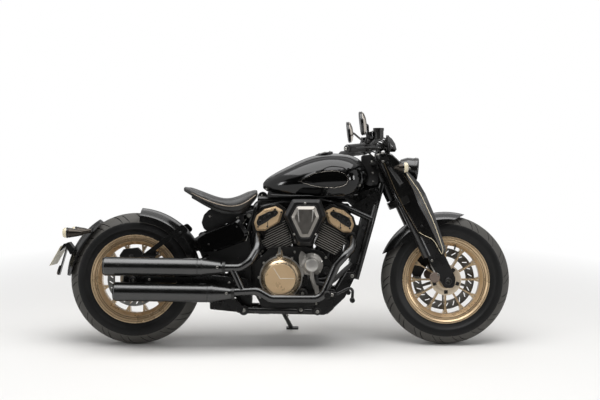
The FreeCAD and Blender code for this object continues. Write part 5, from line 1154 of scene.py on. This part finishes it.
# ---- fuel tank ------------------------------------------------------------------------------------------
# The tank is pressed steel under deep gloss black enamel, with its lower seam folded. A flush filler cap
# with a dark screwed rim and a plated lock cover closes it.
deep_gloss = new_finish("gloss_black_enamel", "gloss_black", ("#040404", "#060606"), 0.1, patch_mm=250,
                        grain_mm=3, relief_mm=0.003, edge_mm=1.0, Specular_IOR_Level=0.4)
coat(deep_gloss, "fuel_tank", "side_covers")
coat(satin_black, "filler_cap")
turned_piece("cap_rim", "chassis", black_oxide, [(6, 40), (6, 44.6), (9, 44.6), (12.6, 37.5),
        (12.6, 34.5)], (168, 0, 940), (-0.2, 0, 1), up=(1, 0, 0.2), steps=72)
turned_piece("cap_lock", "chassis", zinc_plate, [(12, 0), (12, 13), (15, 13), (16, 11), (16, 0)],
             (168, 0, 940), (-0.2, 0, 1), up=(1, 0, 0.2), steps=32)
fasten("cap_screws", [((168 + x, y, 952.5 + x / 5), (-0.2, 0, 1), 0.6)
                      for x, y in on_circle(0, 0, 31, range(30, 390, 60))])
seam = [(-96, -72, 742), (0, -100, 738), (120, -112, 737.5), (240, -106, 739), (330, -88, 742)]
for side, tag in SIDES:
    bent_rod(f"tank_seam_{tag}", "chassis", deep_gloss, mirrored(-side, seam), 3.2)
# A teardrop panel is pressed into each side of the tank, inside a rounded bead with a thin bright edge.
PANEL = [(36, 806), (84, 840), (150, 862), (214, 868), (262, 858), (290, 828), (288, 798), (262, 776),
         (206, 768), (140, 772), (84, 786), (36, 806)]
for side, tag in SIDES:
    laid_tape(f"tank_bead_{tag}", "chassis", deep_gloss, "fuel_tank", PANEL, 4.0, side, high=1.0, thick=2.0)
    inner = [(160 + (x - 160) * 0.93, 817 + (z - 817) * 0.84) for x, z in PANEL]
    laid_tape(f"tank_panel_line_{tag}", "chassis", chrome, "fuel_tank", inner, 0.8, side, high=0.4,
              thick=0.8)
fasten("tank_mounts", on_side("fuel_tank", (-118, 772), (336, 790), both=True), material=black_oxide,
       model=washer)
fasten("tank_bolts", on_side("fuel_tank", (-118, 772), (336, 790), both=True, sunk=-1.5))


# ---- electrics box and side covers ----------------------------------------------------------------------
# The box under the saddle is black nylon with a bolt and a knob. The covers below it are gloss enamel on
# moulded panels, held by bolts, with a bright trim along the front.
fasten("box_bolts", on_side("electrics_box", (-398, 636), (-262, 628), both=True))
for side, tag in SIDES:
    turned_piece(f"box_knob_{tag}", "chassis", nylon, [(0, 0), (0, 13), (6, 13.5), (9, 11), (9, 6),
            (7, 0)], (-408, side * 77.5, 546), (0, side, 0), steps=32)
    upright(f"side_cover_trim_{tag}", "chassis", zinc_plate, [(-206, 566), (-203.5, 556), (-217, 516),
            (-220, 520)], side * 128, side * 7, corner=0.8, rim=0.3)
fasten("side_cover_bolts", on_side("side_covers", (-400, 500), (-262, 586), both=True, size=0.8),
       material=black_oxide)
fasten("guard_bolts", on_side("inner_guards", (-430, 500), (-260, 430), both=True), material=black_oxide)
# Sheet gussets tie the backbone to the downtubes at the steering head, each with a pressed slot, and a rubber
# skirt closes the gap between the tank's floor and the backbone.
for side, tag in SIDES:
    gusset = [(262, 728), (330, 752), (436, 782), (446, 742), (404, 612), (384, 616)]
    upright(f"head_gusset_{tag}", "chassis", powder_coat, gusset, side * 52, side * 4, corner=9, rim=1.2)
    slot = [(378, 742), (394, 746), (388, 706), (380, 706)]
    upright(f"gusset_slot_{tag}", "chassis", rubber, slot, side * 55.5, side * 1, corner=4, rim=0.3)
    fasten(f"gusset_bolts_{tag}", standing(side, 56, 1.2, ((300, 734), (424, 764), (398, 636))),
           material=black_oxide)
    skirt = [(-120, 730), (330, 730), (330, 752), (-112, 762)]
    upright(f"tank_skirt_{tag}", "chassis", rubber, skirt, side * 38, side * 8, corner=6, rim=1.5)
# Bolts where the frame carries the tank and the saddle, and the loom that runs along the backbone.
fasten("spine_bolts", on_side("frame_spine", (-143, 737), (350, 742), both=True))
for side, tag in SIDES:
    loom = [(430, 34, 730), (380, 44, 716), (300, 40, 712), (180, 36, 712), (20, 34, 712), (-90, 30, 700),
            (-180, 34, 676), (-240, 50, 652)]
    bent_rod(f"loom_{tag}", "chassis", rubber, mirrored(side, loom), 6.5, sides=12)


# ---- saddle ---------------------------------------------------------------------------------------------
# A solo saddle: foam under grained leather, pulled down over the pan and fixed under it, with a welt of
# lighter piping all round its lower edge.
leather = new_finish("grained_saddle_leather", "saddle_leather", ("#0E0D0C", "#151312"), 0.42, patch_mm=45,
                     grain_mm=2.4, relief_mm=0.35, edge_mm=0.5, Specular_IOR_Level=0.5, Sheen_Weight=0.05,
                     Sheen_Roughness=0.5)
pad = bpy.data.objects.new("saddle_pad", frame["nodes"]["saddle"].data.copy())
bpy.context.collection.objects.link(pad)
take_up(pad)
bpy.ops.object.mode_set(mode="EDIT")
bpy.ops.mesh.select_all(action="SELECT")
bpy.ops.mesh.remove_doubles(threshold=0.0002)
bpy.ops.mesh.normals_make_consistent(inside=False)
bpy.ops.object.mode_set(mode="OBJECT")
remesh = pad.modifiers.new("even_mesh", "REMESH")
remesh.mode, remesh.voxel_size = "VOXEL", 0.005
bpy.ops.object.modifier_apply(modifier="even_mesh")
rest = [vertex.co.copy() for vertex in pad.data.vertices]
cloth = pad.modifiers.new("stuffed", "CLOTH")
cloth.settings.use_pressure = True
cloth.settings.uniform_pressure_force = 3.0
cloth.settings.effector_weights.gravity = 0
cloth.settings.quality = 5
for step in range(1, 16):
    bpy.context.scene.frame_set(step)
bpy.ops.object.modifier_apply(modifier="stuffed")
# the foam is glued to the pan, so the cover moves least at the bottom, and nowhere over 4 mm
back = parked.inverted()
for vertex, start in zip(pad.data.vertices, rest):
    move = vertex.co - start
    if move.length > 0.004:
        move = move * (0.004 / move.length)
    if (back.to_3x3() @ move).z < 0:
        move = move * 0.3
    vertex.co = start + move
bpy.context.scene.frame_set(1)
smooth = pad.modifiers.new("soft", "SUBSURF")
smooth.levels = smooth.render_levels = 1
bpy.ops.object.modifier_apply(modifier="soft")
bpy.ops.object.shade_smooth()
pad.data.materials.clear()
pad.data.materials.append(leather)
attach(pad, "chassis")
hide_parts("saddle")
piping_leather = new_finish("tan_leather_piping", "saddle_leather", ("#8A7D6E", "#9C8F80"), 0.5,
                            patch_mm=20, grain_mm=1.6, relief_mm=0.2, Specular_IOR_Level=0.3)
# the saddle's widest line, from the rear tip to the nose: x, half width and height
WELT = [(-531, 0, 775), (-530, 26, 774), (-526, 48, 772), (-490, 84.5, 752), (-410, 116.5, 713),
        (-320, 128.5, 684), (-250, 112.5, 689), (-200, 84.5, 718), (-170, 58, 745), (-166.5, 30, 746),
        (-166, 0, 746)]
ring = [(x, -y, z) for x, y, z in WELT] + [(x, y, z) for x, y, z in reversed(WELT)]
bent_rod("saddle_welt", "chassis", piping_leather, ring, 2.6, sides=12)


# ---- rear fender, tail and plate ------------------------------------------------------------------------
# The hugger is pressed steel in satin enamel on bolted stays. Behind the wheel a narrow fender carries two
# bullet lamps with cream lenses, a blank aluminium plate on its bracket and a small reflector.
stay_bolts = on_side("rear_fender", (-541, 556), (-742, 380), size=1.2, both=True)
fasten("stay_bolts", stay_bolts, material=black_oxide)
for side, tag in SIDES:
    turned_set("tail_lamp_{}_" + tag, "chassis", {
        "lens": (lens_cream, [(-33, 24.2), (-35, 25), (-46, 24), (-52, 19), (-55, 9), (-56, 0)]),
        "rim": (satin_black, [(-34, 24.5), (-34, 25.8), (-28, 26), (-27, 24)]),
        "band": (shell_metal, [(-22, 23.5), (-21.5, 24.8), (-18, 24.4), (-17.5, 23)])},
               (-1064, side * 112, 556), (1, 0, 0), steps=40)
plate_white = new_finish("painted_plate_sheet", "plate_sheet", ("#C2BBA4", "#CCC6B0"), 0.42, patch_mm=70,
                         grain_mm=1.0, relief_mm=0.03, worn="#8F8A7A", wear=0.5, Specular_IOR_Level=0.35)
coat(plate_white, "number_plate")
# the plate leans back 30 degrees; its two bolts sit in nylon washers, 20 mm below its upper edge
plate_faces = (-0.866, 0, 0.5)
heads = [((-1141.9, y, 473.8), plate_faces) for y in (-75, 75)]
fasten("plate_washers", [(*head, 0.55) for head in heads], material=nylon, model=washer)
fasten("plate_bolts", [(*head, 0.6) for head in heads])
turned_piece("rear_reflector", "chassis", smoked_lens, [(0, 22), (3, 23), (6, 21), (7, 12), (7, 0)],
             (-1157, 0, 364), (-0.96, 0, 0.28), up=(0, 1, 0), steps=48)
for side, tag in SIDES:
    lead = [(-1030, 106, 556), (-1000, 96, 562), (-985, 80, 572), (-975, 60, 585)]
    bent_rod(f"lamp_lead_{tag}", "chassis", rubber, mirrored(side, lead), 2.5)
fasten("tail_arm_bolts", on_side("tail_fender", (-806, 338), size=1.3, side=1))


# ---- rear axle, foot controls and side stand ------------------------------------------------------------
# Blackened nuts clamp the axle in the swingarm. The pegs have ribbed rubber sleeves, and the stand has a
# return spring and a flat welded foot.
for side, tag in SIDES:
    turned_piece(f"rear_axle_nut_{tag}", "chassis", black_oxide, [(0, 8), (0, 17), (9, 17), (11, 15),
            (11, 8)], (-770, side * 140, 326), (0, side, 0), steps=6 if side > 0 else 32, sharp=25)
    sleeve = [(0, 14.2), *ribbed(2, 9, 9, 7, 14.2, 17), (86, 14.2)]
    turned_piece(f"peg_sleeve_{tag}", "chassis", rubber, sleeve, (176, side * 252, 266), (0, side, 0),
                 steps=28, sharp=50)
    pad = [(0, 10.2), *ribbed(2, 4, 9, 7, 10.2, 12.5)]
    turned_piece(f"lever_pad_{tag}", "chassis", rubber, pad, (297, side * 223, 236), (0, side, 0),
                 steps=24, sharp=50)
fasten("foot_control_bolts", on_side("foot_controls", (200, 262), size=1.3, both=True))
pivot, foot = Vector((-64, 154, 186)), Vector((4, 302, 0))
along_leg = (foot - pivot).normalized()
beside = along_leg.cross(Vector((0, 1, 0))).normalized()
spring = []
for i in range(12 * 6 + 1):
    turn = i / 6 * math.tau
    middle = pivot + along_leg * (34 + 70 * i / 72) + beside * 19
    spring.append(middle + (beside * math.cos(turn) + along_leg.cross(beside) * math.sin(turn)) * 5.5)
bent_rod("stand_spring", "stand", zinc_plate, spring, 1.5)
